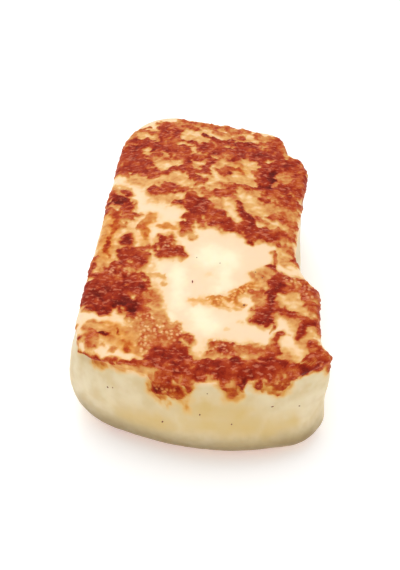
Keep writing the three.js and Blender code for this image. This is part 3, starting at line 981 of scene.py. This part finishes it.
# Grains of the finish: size in millimetres, detail, roughness and stretch
GRAIN_MIDDLE = 0.5
PAINTED_GLINT_STRETCH = (0.5, 1.1, 1.0)  # painted glints are longer across the block than along it
FINE_GRAIN = (0.9, 3.0, 0.6)
GRIT_GRAIN = (0.28, 2.0)
PATCH_GRAIN = (11.0, 1.0)
BLOTCH_GRAIN = (5.0, 2.0)
MOTTLE_GRAIN = (2.6, 3.0)
CREASE_GRAIN = (2.2, 2.0)
PAINTED_GLINT_GRAIN = (0.9, 2.0, 0.5, PAINTED_GLINT_STRETCH)
BUMP_GRAIN = (0.7, 2.0)
SPECK_GRAIN = 0.4
FLOOR_GRAIN = 20
PEARL_SIZE = 1.2
PEARL_RANGE = (0.55, 0.1)  # distances from a pearl's middle, in pearl sizes, where it starts and is whole
CREASE_RANGE = (0.045, 0.0)  # distances from the grain's middle value at which a crease starts and is whole

# How grains, beads and blisters change the depth of browning
EDGE_RANGE = (0.25, 0.65)  # browning from which grains and beads start and fully count
FINE_DEPTH = 0.28
GRIT_DEPTH = 0.14
# how much darker the creases are, as painted shade
CREASE_DEPTH = 0.08
BEAD_LEVEL = 0.35  # height of a bead that leaves the depth as it is
# how much lighter the bead tops are, partly painted highlight
BEAD_DEPTH = 0.28
DARK_RANGE = (0.8, 1.0)
DARK_BEAD_LOSS = 0.18  # how much less beads count on dark crust
GAP_RANGE = (0.1, 0.3)  # browning from which blisters start and fully count
GAP_LEVEL = 0.2  # height of a blister that leaves the depth as it is
# how much lighter the tops of the blisters are, partly painted highlight
GAP_DEPTH = 0.22

# Where colours start and are complete, how far they mix in, and how much they swing with the grains
BROWNED_RANGE = (0.0, 0.3)
CRISPED_RANGE = (0.35, 0.6)
CHAR_FADE = (1.05, 0.85)
# Painted glints: light flecks on the crisped crust and on the tops of the blisters
PAINTED_GLINT_RANGE = (0.53, 0.68)
PAINTED_GLINT_SHARE = 0.45
BLISTER_GLINT_SHARE = 0.55
WHITE_RANGE = (0.18, 1.28)
WHITE_SWING = 0.8
WHITE_WALL_RANGE = (0.26, 0.78)
OILY_RANGE = (0.0, 1.4)
OILY_PATCHES = 0.8
OILY_BLOTCHES = 1.3
# painted shade at the foot of the walls
FOOT_SHADE_RANGE = (0.0, 1.0)
FOOT_SHADE_SWING = 0.2

# Gloss and bump
CRUST_RANGE = (0.2, 0.5)  # depths from which the skin starts and ends turning from moist to crisp
BLISTER_BUMP = 0.8
MOTTLE_BUMP = 0.35
BUMP_DISTANCE = 0.00035  # metres
CURD_SCATTER = (1.0, 0.62, 0.34)  # how far red, green and blue light scatter, as shares of the scale
CURD_ROUGHNESS_SWING = (0.42, 0.25)  # middle value and swing
CRUST_ROUGHNESS_SWING = (0.5, 0.3)
FLOOR_ROUGHNESS_SWING = (0.8, 0.1)
CRUST_SHEEN = (1.0, 0.66, 0.48, 1.0)  # tint of the crust's gloss


def swing(grain, reach):
    """A grain from 0 to 1 as a swing of some reach about 0."""
    return (grain - GRAIN_MIDDLE) * reach


def uneven_roughness(grain, middle, reach):
    """A roughness that swings about a middle value with a grain."""
    return middle + swing(grain, reach)


class Wire:
    """A node's output, with Python's operators standing for Math nodes."""

    def __init__(self, maker, socket):
        self.maker = maker
        self.socket = socket

    def __add__(self, other):
        return self.maker.math("ADD", self, other)

    def __radd__(self, other):
        return self.maker.math("ADD", other, self)

    def __sub__(self, other):
        return self.maker.math("SUBTRACT", self, other)

    def __rsub__(self, other):
        return self.maker.math("SUBTRACT", other, self)

    def __mul__(self, other):
        return self.maker.math("MULTIPLY", self, other)

    def __rmul__(self, other):
        return self.maker.math("MULTIPLY", other, self)


class Finish:
    """A material under construction."""

    def __init__(self, name):
        self.material = bpy.data.materials.new(name)
        self.material.use_nodes = True
        self.tree = self.material.node_tree
        self.tree.nodes.clear()

    def node(self, kind, settings=None, inputs=None, output=0):
        """Adds a node: its settings first, a ramp's stops among them, then its sockets' values or links."""
        node = self.tree.nodes.new(kind)
        for name, value in (settings or {}).items():
            if name == "stops":
                set_stops(node.color_ramp, value)
            else:
                setattr(node, name, value)
        for name, value in (inputs or {}).items():
            if isinstance(value, Wire):
                self.tree.links.new(value.socket, node.inputs[name])
            else:
                node.inputs[name].default_value = value
        return Wire(self, node.outputs[output]) if node.outputs else node

    def math(self, operation, first, second):
        return self.node("ShaderNodeMath", {"operation": operation}, {0: first, 1: second})

    def rise(self, value, low, high):
        """0 below low, 1 above high, and an S-curve between them."""
        return self.node(
            "ShaderNodeMapRange",
            {"interpolation_type": "SMOOTHSTEP"},
            {"Value": value, "From Min": low, "From Max": high},
        )

    def mix(self, share, first, second, how="MIX"):
        """Two colours mixed by a share."""
        settings = {"data_type": "RGBA", "blend_type": how}
        return self.node("ShaderNodeMix", settings, {0: share, 6: first, 7: second}, 2)

    def grain(self, size, detail=2.0, roughness=0.5, stretch=None):
        """Noise from 0 to 1 in Object coordinates, with features of a size in millimetres."""
        place = self.node("ShaderNodeTexCoord", output="Object")
        if stretch:
            turn = (0, 0, STREAK_TILT)
            place = self.node("ShaderNodeMapping", {}, {"Vector": place, "Rotation": turn, "Scale": stretch})
        inputs = {"Vector": place, "Scale": 1 / (size * MM), "Detail": detail, "Roughness": roughness}
        return self.node("ShaderNodeTexNoise", {}, inputs)

    def pearls(self, size):
        """Round beads from 0 to 1 packed side by side in Object coordinates, of a size in millimetres."""
        place = self.node("ShaderNodeTexCoord", output="Object")
        away = self.node("ShaderNodeTexVoronoi", {}, {"Vector": place, "Scale": 1 / (size * MM)})
        return self.rise(away, *PEARL_RANGE)

    def attribute(self, name):
        return self.node("ShaderNodeAttribute", {"attribute_name": name}, output="Fac")

    def surface(self, shader):
        self.node("ShaderNodeOutputMaterial", {}, {"Surface": shader})
        return self.material


def set_stops(ramp, stops):
    """A colour ramp's stops, as pairs of place and colour."""
    while len(ramp.elements) > 1:
        ramp.elements.remove(ramp.elements[-1])
    for number, (place, colour) in enumerate(stops):
        stop = ramp.elements[0] if number == 0 else ramp.elements.new(place)
        stop.position = place
        stop.color = colour


def opaque(colour):
    return (*colour, 1.0)


class CheeseSkin:
    """The attributes and grains that the cheese's finish is made of."""

    def __init__(self, finish):
        self.browning = finish.attribute("browning")
        self.bead = finish.attribute("bead")
        self.blistered = finish.attribute("blistered")
        self.bubble = finish.pearls(PEARL_SIZE) * self.blistered
        # painted glare of the top light on the curd
        self.pale = finish.attribute("pale")
        self.wall = finish.attribute("wall")
        self.oil_and_lower_wall = finish.attribute("oil_and_lower_wall")
        # painted shade at the foot of the walls
        self.painted_foot_shade = finish.attribute("painted_foot_shade")
        self.fine = finish.grain(*FINE_GRAIN)
        self.grit = finish.grain(*GRIT_GRAIN)
        self.patches = finish.grain(*PATCH_GRAIN)
        self.blotches = finish.grain(*BLOTCH_GRAIN)
        self.mottle = finish.grain(*MOTTLE_GRAIN)
        # creases: thin lines that are darkened as painted shade
        off_middle = finish.math("ABSOLUTE", finish.grain(*CREASE_GRAIN) - GRAIN_MIDDLE, 0)
        self.creases = finish.rise(off_middle, *CREASE_RANGE)


def browned_depth(finish, skin):
    """Browning made uneven by grains, with creases darkened as painted shade, and lighter tops of beads and
    blisters that are partly painted highlight.
    """
    edge = finish.rise(skin.browning, *EDGE_RANGE)
    strength = BEAD_DEPTH - finish.rise(skin.browning, *DARK_RANGE) * DARK_BEAD_LOSS
    # lighter bead and blister tops are partly painted highlight, and darker creases painted shade
    tops = (skin.bead - BEAD_LEVEL) * strength
    gaps = skin.blistered * GAP_LEVEL - skin.bubble
    grains = swing(skin.fine, FINE_DEPTH) + swing(skin.grit, GRIT_DEPTH)
    uneven = grains - tops + skin.creases * CREASE_DEPTH
    return skin.browning + edge * uneven + finish.rise(skin.browning, *GAP_RANGE) * gaps * GAP_DEPTH


def crust_colour(finish, skin, depth, colours):
    """Crust from cream to soot by depth, with painted glints as light flecks and on the tops of the
    blisters, filtered where oily.
    """
    stops = [(place / RAMP_REACH, opaque(getattr(colours, name))) for place, name in CRUST_STOPS]
    fried = finish.node("ShaderNodeValToRGB", {"stops": stops}, {"Fac": depth * (1 / RAMP_REACH)})
    crisped = finish.rise(depth, *CRISPED_RANGE) * finish.rise(depth, *CHAR_FADE)
    # painted glints, light flecks of highlight on the crisped crust
    flecks = finish.rise(finish.grain(*PAINTED_GLINT_GRAIN), *PAINTED_GLINT_RANGE) * crisped
    fried = finish.mix(flecks * PAINTED_GLINT_SHARE, fried, opaque(colours.painted_glint))
    # painted glints on the tops of the blisters
    fried = finish.mix(skin.bubble * BLISTER_GLINT_SHARE, fried, opaque(colours.painted_blister_glint))
    filtering = finish.mix(skin.wall, opaque(colours.ochre), opaque(colours.stain))
    stained = finish.mix(1.0, fried, filtering, "MULTIPLY")
    return finish.mix(finish.math("MAXIMUM", skin.wall, skin.oil_and_lower_wall), fried, stained)


def curd_colour(finish, skin, colours):
    """Bare curd: cream to white on the top with painted glare, and blotchy walls in colours partly darkened
    as painted shade, yellow in patches and lower down, with painted shade at the foot.
    """
    # whiteness holds random paler patches and the painted glare
    whiteness_and_glare = skin.pale + swing(skin.patches, WHITE_SWING) + swing(skin.blotches, WHITE_SWING)
    whiteness_and_glare = finish.rise(whiteness_and_glare, *WHITE_RANGE)
    top_curd = finish.mix(whiteness_and_glare, opaque(colours.cream), opaque(colours.white_curd_and_glare))
    # wall curd in colours that are partly painted shade
    whitened = finish.rise(skin.blotches, *WHITE_WALL_RANGE)
    wall_curd = finish.mix(whitened, opaque(colours.wall), opaque(colours.wall_white))
    oily = skin.oil_and_lower_wall + swing(skin.patches, OILY_PATCHES) + swing(skin.blotches, OILY_BLOTCHES)
    wall_curd = finish.mix(finish.rise(oily, *OILY_RANGE), wall_curd, opaque(colours.wall_yellow))
    # painted shade darkening the foot of the walls
    foot_shade_share = finish.rise(skin.painted_foot_shade + swing(skin.mottle, FOOT_SHADE_SWING), *FOOT_SHADE_RANGE)
    wall_curd = finish.mix(foot_shade_share, wall_curd, opaque(colours.foot))
    return finish.mix(skin.wall, top_curd, wall_curd)


def cheese_material(colours):
    """Moist curd with a fried crust over it, mixed by how brown the skin is."""
    finish = Finish("fried_cheese")
    skin = CheeseSkin(finish)
    depth = browned_depth(finish, skin)
    curd = curd_colour(finish, skin, colours)
    fried = crust_colour(finish, skin, depth, colours)
    colour = finish.mix(finish.rise(depth, *BROWNED_RANGE), curd, fried)
    crust = finish.rise(depth, *CRUST_RANGE)
    height = finish.grain(*BUMP_GRAIN) * crust + skin.bubble * BLISTER_BUMP + skin.mottle * MOTTLE_BUMP
    bump = {"Strength": 0.4, "Distance": BUMP_DISTANCE, "Height": height}
    rough = finish.node("ShaderNodeBump", {}, bump)
    moist = finish.node(
        "ShaderNodeBsdfPrincipled",
        {"subsurface_method": "RANDOM_WALK"},
        {
            "Base Color": colour,
            "Roughness": uneven_roughness(skin.mottle, *CURD_ROUGHNESS_SWING),
            "Specular IOR Level": 0.3,
            "Subsurface Weight": 0.35,
            "Subsurface Radius": CURD_SCATTER,
            "Subsurface Scale": 0.0022,
            "Normal": rough,
        },
    )
    crisp = finish.node(
        "ShaderNodeBsdfPrincipled",
        {},
        {
            "Base Color": colour,
            "Roughness": uneven_roughness(skin.fine, *CRUST_ROUGHNESS_SWING),
            "Specular IOR Level": 0.1,
            "Specular Tint": CRUST_SHEEN,
            "Normal": rough,
        },
    )
    return finish.surface(finish.node("ShaderNodeMixShader", {}, {0: crust, 1: moist, 2: crisp}))


def speck_material(colours):
    """Dry dark specks, uneven in colour."""
    finish = Finish("speck")
    colour = finish.mix(finish.grain(SPECK_GRAIN), opaque(colours.speck), opaque(colours.dark))
    shader = finish.node("ShaderNodeBsdfPrincipled", {}, {"Base Color": colour, "Roughness": 0.7})
    return finish.surface(shader)


def floor_material(colour):
    """Plain pale floor with a faint unevenness in its gloss."""
    finish = Finish("pale_floor")
    shader = finish.node(
        "ShaderNodeBsdfPrincipled",
        {},
        {
            "Base Color": opaque(colour),
            "Roughness": uneven_roughness(finish.grain(FLOOR_GRAIN), *FLOOR_ROUGHNESS_SWING),
            "Specular IOR Level": 0.1,
            "Emission Color": opaque(colour),
            "Emission Strength": 0.2,
        },
    )
    return finish.surface(shader)


def painted(red, green, blue):
    """A colour given as screen values from 0 to 255, as Blender's linear values."""
    shares = (value / 255 for value in (red, green, blue))
    return tuple(s / 12.92 if s <= 0.04045 else ((s + 0.055) / 1.055) ** 2.4 for s in shares)


def colour_of(name, description, *screen):
    return FloatVectorProperty(
        name=name, description=description, subtype="COLOR", size=3, min=0, max=1, default=painted(*screen)
    )


def length_of(name, description, millimetres):
    return FloatProperty(
        name=name, description=description, unit="LENGTH", precision=5, min=0, default=millimetres * MM
    )


class CheeseSizes(PropertyGroup):
    crust_height: length_of("Crust height", "How far the fried crust stands out of the curd", 0.25)
    blister_height: length_of("Blister height", "Height of the blisters in the crust", 0.45)
    drip_height: length_of("Drip height", "How far the drips stand out of the front wall", 0.6)
    lip_height: length_of(
        "Lip height", "How far the front edge's lip stands out, and its groove sinks in", 0.5
    )


class CheeseColours(PropertyGroup):
    cream: colour_of("Cream", "Bare curd of the top", 247, 214, 176)
    # Painted glare: mixed with the cream it also paints the top light's highlight on the curd
    white_curd_and_glare: colour_of("White curd", "Palest curd of the top", 249, 237, 202)
    # Painted shade: the wall colours are darker than the top's cream, partly as shade for the walls' weaker
    # light and against the floor's glow on them
    wall: colour_of("Wall", "Curd of the walls", 212, 189, 142)
    wall_white: colour_of("White wall", "Palest parts of the walls", 228, 213, 179)
    # also laid on the lower part of the walls, yellower towards the bottom
    wall_yellow: colour_of("Yellow wall", "Oily yellow parts of the walls", 211, 180, 114)
    # Painted shade: the dark colour laid on the foot of the walls
    foot: colour_of("Foot", "Painted shade at the foot of the walls", 139, 115, 68)
    stain: colour_of("Stain", "Filter over browning on the walls", 240, 226, 176)
    ochre: colour_of("Ochre", "Filter over the oily streaks of the top", 253, 230, 172)
    straw: colour_of("Straw", "First tinge of browning", 243, 205, 150)
    golden: colour_of("Golden", "Light crust", 227, 172, 97)
    amber: colour_of("Amber", "Middling crust", 209, 139, 74)
    rust: colour_of("Rust", "Orange brown crust", 192, 93, 43)
    red_brown: colour_of("Red brown", "Most of the crust", 170, 58, 26)
    dark: colour_of("Dark", "Dark crust", 146, 36, 17)
    char: colour_of("Char", "Charred crust", 112, 22, 12)
    soot: colour_of("Soot", "Darkest char", 78, 14, 12)
    # Painted glints on the crust and on the tops of the blisters
    painted_glint: colour_of("Fleck", "Light flecks in the crust", 229, 141, 106)
    painted_blister_glint: colour_of("Blister", "Tops of the blisters", 246, 187, 138)
    speck: colour_of("Speck", "Specks on the curd", 74, 56, 40)


class StageSettings(PropertyGroup):
    elevation: FloatProperty(
        name="Camera elevation",
        description="Angle by which the camera looks down",
        unit="ROTATION",
        default=math.radians(46),
    )
    distance: FloatProperty(
        name="Camera distance", description="From the camera to its target", unit="LENGTH", default=0.270
    )
    lens: FloatProperty(name="Lens", description="Focal length in millimetres", unit="CAMERA", default=55.0)
    target: FloatVectorProperty(
        name="Camera target",
        description="Point that the camera looks at",
        subtype="TRANSLATION",
        size=3,
        default=(0.00093, -0.00475, 0.01408),
    )
    floor: colour_of("Floor", "Plain floor", 255, 255, 255)
    sky: FloatProperty(name="Sky", description="Strength of the even white light", min=0, default=0.82)
    key: FloatProperty(name="Key light", description="Power of the top light", unit="POWER", default=0.45)
    fill: FloatProperty(name="Fill light", description="Power of the front light", unit="POWER", default=0.2)
    glint: FloatProperty(
        name="Glint light", description="Power of the small back light", unit="POWER", default=0.3
    )


class CHEESE_OT_block(Operator):
    """Make the block with its fried crust"""

    bl_idname = "cheese.block"
    bl_label = "Cheese block"

    def execute(self, context):
        scene = context.scene
        points, quads, fan, loops = block_surface()
        skin, drop = unfold(points, loops)
        normals = surface_normals(points, quads)
        browning = browning_field(points, skin) + under_browning(points, normals)
        bead = crust_beads(points)
        blistered = most_cover(skin, BLISTERED)
        bubble = uneven_domes(points, *BLISTERS) * blistered
        relief = relief_field(points, skin, drop, browning, bead, bubble, scene.cheese_sizes)
        formed = points + normals * relief[:, None]
        formed[:, 2] = np.maximum(formed[:, 2], 0)

        # Painted shade at the foot of the walls, strongest on faces that look forwards
        foot = left_to_right(FOOT_SHADE_HEIGHTS, points[:, 0] / HALF_WIDTH)
        in_front = between(FOOT_SHADE_BEHIND, 1, smooth(-normals[:, 1], *FRONT_FACING))
        place = wandering(points, skin)
        wall = smooth(drop, *WALL_RANGE)
        # the wall turns yellower towards the bottom
        low = (1 - smooth(formed[:, 2], 0, LOWER_WALL_HEIGHT)) * wall
        fields = {
            "browning": browning,
            "bead": bead,
            "blistered": blistered,
            # painted glare on the top's curd
            "pale": glow(place, PAINTED_GLARE_STROKES),
            "wall": wall,
            "oil_and_lower_wall": np.maximum(glow(place, OILY_STROKES), low),
            "painted_foot_shade": in_front * (1 - smooth(points[:, 2], FOOT_SHADE_STARTS, foot)),
        }
        material = cheese_material(scene.cheese_colours)
        piece = add_piece(BLOCK_PIECE, formed, quads.tolist() + fan.tolist(), material)
        for name, values in fields.items():
            add_attribute(piece, name, values)
        add_attribute(piece, "skin", np.column_stack([skin, drop]) * MM, "FLOAT_VECTOR", "vector")
        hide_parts(BLOCK_NODE)
        return {"FINISHED"}


SPECK_SIDES = 10
SPECK_RINGS = 5
SPECK_THICKNESS = 0.3  # share of a speck's width
SPECK_SUNK = 0.1  # share of a speck's width by which it sits in the curd
SPECK_UNEVENNESS = 0.3
SPECK_SAMPLE = 0.8  # radius of the ball of noise that a speck's outline is read from
SPECK_GUIDE = (0, 1, 0.01)  # direction that no speck's normal lies along


def speck_shape():
    """A flat round grain: sides around, rings from pole to pole, and one point at each pole."""
    turn, rise = np.meshgrid(
        np.arange(SPECK_SIDES) * 2 * math.pi / SPECK_SIDES,
        np.linspace(-math.pi / 2, math.pi / 2, SPECK_RINGS + 2)[1:-1],
    )
    ring = np.stack([np.cos(rise) * np.cos(turn), np.cos(rise) * np.sin(turn), np.sin(rise)], -1)
    points = np.concatenate([ring.reshape(-1, 3), [[0, 0, -1], [0, 0, 1]]])
    loops = np.arange(SPECK_SIDES * SPECK_RINGS).reshape(SPECK_RINGS, SPECK_SIDES)
    quads = np.concatenate([quads_between(upper, lower) for lower, upper in zip(loops[:-1], loops[1:])])
    low = np.stack([np.roll(loops[0], -1), loops[0], np.full(SPECK_SIDES, len(points) - 2)], -1)
    high = np.stack([loops[-1], np.roll(loops[-1], -1), np.full(SPECK_SIDES, len(points) - 1)], -1)
    return points, quads, np.concatenate([low, high])


def read_vectors(collection, name, count):
    values = np.zeros(count * 3, np.float32)
    collection.foreach_get(name, values)
    return values.reshape(-1, 3).astype(float)


def speck_surface(block):
    """All specks as one mesh: the grain stretched, turned and laid on the nearest point of the skin."""
    mesh = block.data
    count = len(mesh.vertices)
    places = read_vectors(mesh.vertices, "co", count) / MM
    normals = read_vectors(mesh.vertex_normals, "vector", count)
    skin = read_vectors(mesh.attributes["skin"].data, "vector", count)[:, :2] / MM
    shape, quads, triangles = speck_shape()
    points, faces = [], []
    for x, y, length, width, degrees in SPECKS:
        nearest = np.argmin(np.hypot(skin[:, 0] - x, skin[:, 1] - y))
        up = normals[nearest]
        across = np.cross(SPECK_GUIDE, up)
        across /= np.linalg.norm(across)
        along = np.cross(up, across)
        turn = math.radians(degrees)
        first = math.cos(turn) * across + math.sin(turn) * along
        second = math.cos(turn) * along - math.sin(turn) * across
        stretched = shape * np.array([length, width, width * SPECK_THICKNESS]) / 2
        outline = noise(shape * SPECK_SAMPLE + x, *SPECK_OUTLINE)
        stretched[:, :2] *= 1 + SPECK_UNEVENNESS * outline[:, None]
        offset = len(points) * len(shape)
        seat = places[nearest] - up * width * SPECK_SUNK
        points.append(seat + stretched @ np.stack([first, second, up]))
        faces += (quads + offset).tolist() + (triangles + offset).tolist()
    return np.concatenate(points), faces


class CHEESE_OT_specks(Operator):
    """Make the dark specks that lie on the block"""

    bl_idname = "cheese.specks"
    bl_label = "Specks"

    def execute(self, context):
        block = bpy.data.objects.get(BLOCK_PIECE)
        if block is None:
            raise RuntimeError("make the block before its specks")
        points, faces = speck_surface(block)
        add_piece("specks", points, faces, speck_material(context.scene.cheese_colours))
        return {"FINISHED"}


FLOOR_HALF = 1.5  # metres
FLOOR_CELLS = 8


def floor_surface():
    """A flat grid at the height that the block stands on."""
    line = np.linspace(-FLOOR_HALF, FLOOR_HALF, FLOOR_CELLS + 1) / MM
    x, y = np.meshgrid(line, line)
    points = np.stack([x.ravel(), y.ravel(), np.zeros(x.size)], -1)
    index = np.arange(x.size).reshape(x.shape)
    faces = np.stack([index[:-1, :-1], index[:-1, 1:], index[1:, 1:], index[1:, :-1]], -1).reshape(-1, 4)
    return points, faces.tolist()


# Lights: place and size in metres
KEY_LIGHT = ((-0.08, 0.05, 0.48), 0.40)
FILL_LIGHT = ((0.10, -0.45, 0.30), 0.35)
GLINT_LIGHT = ((-0.08, 0.32, 0.36), 0.14)


def aimed(way):
    """The turn of a light or camera that looks along a direction."""
    return way.to_track_quat("-Z", "Y").to_euler()


def add_light(name, place, size, target, power):
    """A square soft light aimed at a target."""
    light = bpy.data.lights.new(name, "AREA")
    light.size = size
    light.energy = power
    holder = bpy.data.objects.new(name, light)
    holder.location = place
    holder.rotation_euler = aimed(target - Vector(place))
    bpy.context.scene.collection.objects.link(holder)


def add_floor(colour):
    """The plain floor with its material."""
    points, faces = floor_surface()
    mesh = bpy.data.meshes.new("floor")
    mesh.from_pydata((points * MM).tolist(), [], faces)
    mesh.materials.append(floor_material(colour))
    floor = bpy.data.objects.new("floor", mesh)
    bpy.context.scene.collection.objects.link(floor)


def add_sky(scene, strength):
    """Even white light from all sides."""
    world = bpy.data.worlds.new("studio")
    world.use_nodes = True
    background = world.node_tree.nodes["Background"].inputs
    background["Color"].default_value = (1, 1, 1, 1)
    background["Strength"].default_value = strength
    scene.world = world


def add_camera(scene, stage, target):
    """A camera in front of the block, above it by the elevation and looking at the target."""
    camera = bpy.data.cameras.new("camera")
    camera.lens = stage.lens
    camera.clip_start = 0.01
    holder = bpy.data.objects.new("camera", camera)
    back = Vector((0, -math.cos(stage.elevation), math.sin(stage.elevation)))
    holder.location = target + back * stage.distance
    holder.rotation_euler = aimed(-back)
    scene.collection.objects.link(holder)
    scene.camera = holder


class CHEESE_OT_stage(Operator):
    """Make the plain floor, the soft light and the camera"""

    bl_idname = "cheese.stage"
    bl_label = "Stage"

    def execute(self, context):
        scene = context.scene
        stage = scene.cheese_stage
        target = Vector(stage.target)
        add_floor(stage.floor)
        add_sky(scene, stage.sky)
        add_light("key", *KEY_LIGHT, target, stage.key)
        add_light("fill", *FILL_LIGHT, target, stage.fill)
        add_light("glint", *GLINT_LIGHT, target, stage.glint)
        add_camera(scene, stage, target)
        scene.view_settings.view_transform = "Standard"
        return {"FINISHED"}


class CHEESE_PT_panel(Panel):
    """Lists the block's sizes and colours and the buttons that make it"""

    bl_idname = "CHEESE_PT_panel"
    bl_label = "Fried cheese block"
    bl_space_type = "VIEW_3D"
    bl_region_type = "UI"
    bl_category = "Cheese"

    def draw(self, context):
        layout = self.layout
        for name in SETTINGS:
            group = getattr(context.scene, name)
            column = layout.column(align=True)
            for key in group.__annotations__:
                column.prop(group, key)
        for operator in OPERATORS:
            layout.operator(operator.bl_idname)


SETTINGS = {"cheese_sizes": CheeseSizes, "cheese_colours": CheeseColours, "cheese_stage": StageSettings}
OPERATORS = (CHEESE_OT_block, CHEESE_OT_specks, CHEESE_OT_stage)


def register():
    for made in (*SETTINGS.values(), *OPERATORS, CHEESE_PT_panel):
        bpy.utils.register_class(made)
    for name, group in SETTINGS.items():
        setattr(bpy.types.Scene, name, PointerProperty(type=group))


def unregister():
    for name in SETTINGS:
        delattr(bpy.types.Scene, name)
    for made in (CHEESE_PT_panel, *reversed(OPERATORS), *SETTINGS.values()):
        bpy.utils.unregister_class(made)


def main():
    register()
    bpy.ops.cheese.block()
    bpy.ops.cheese.specks()
    bpy.ops.cheese.stage()


if __name__ == "__main__":
    main()
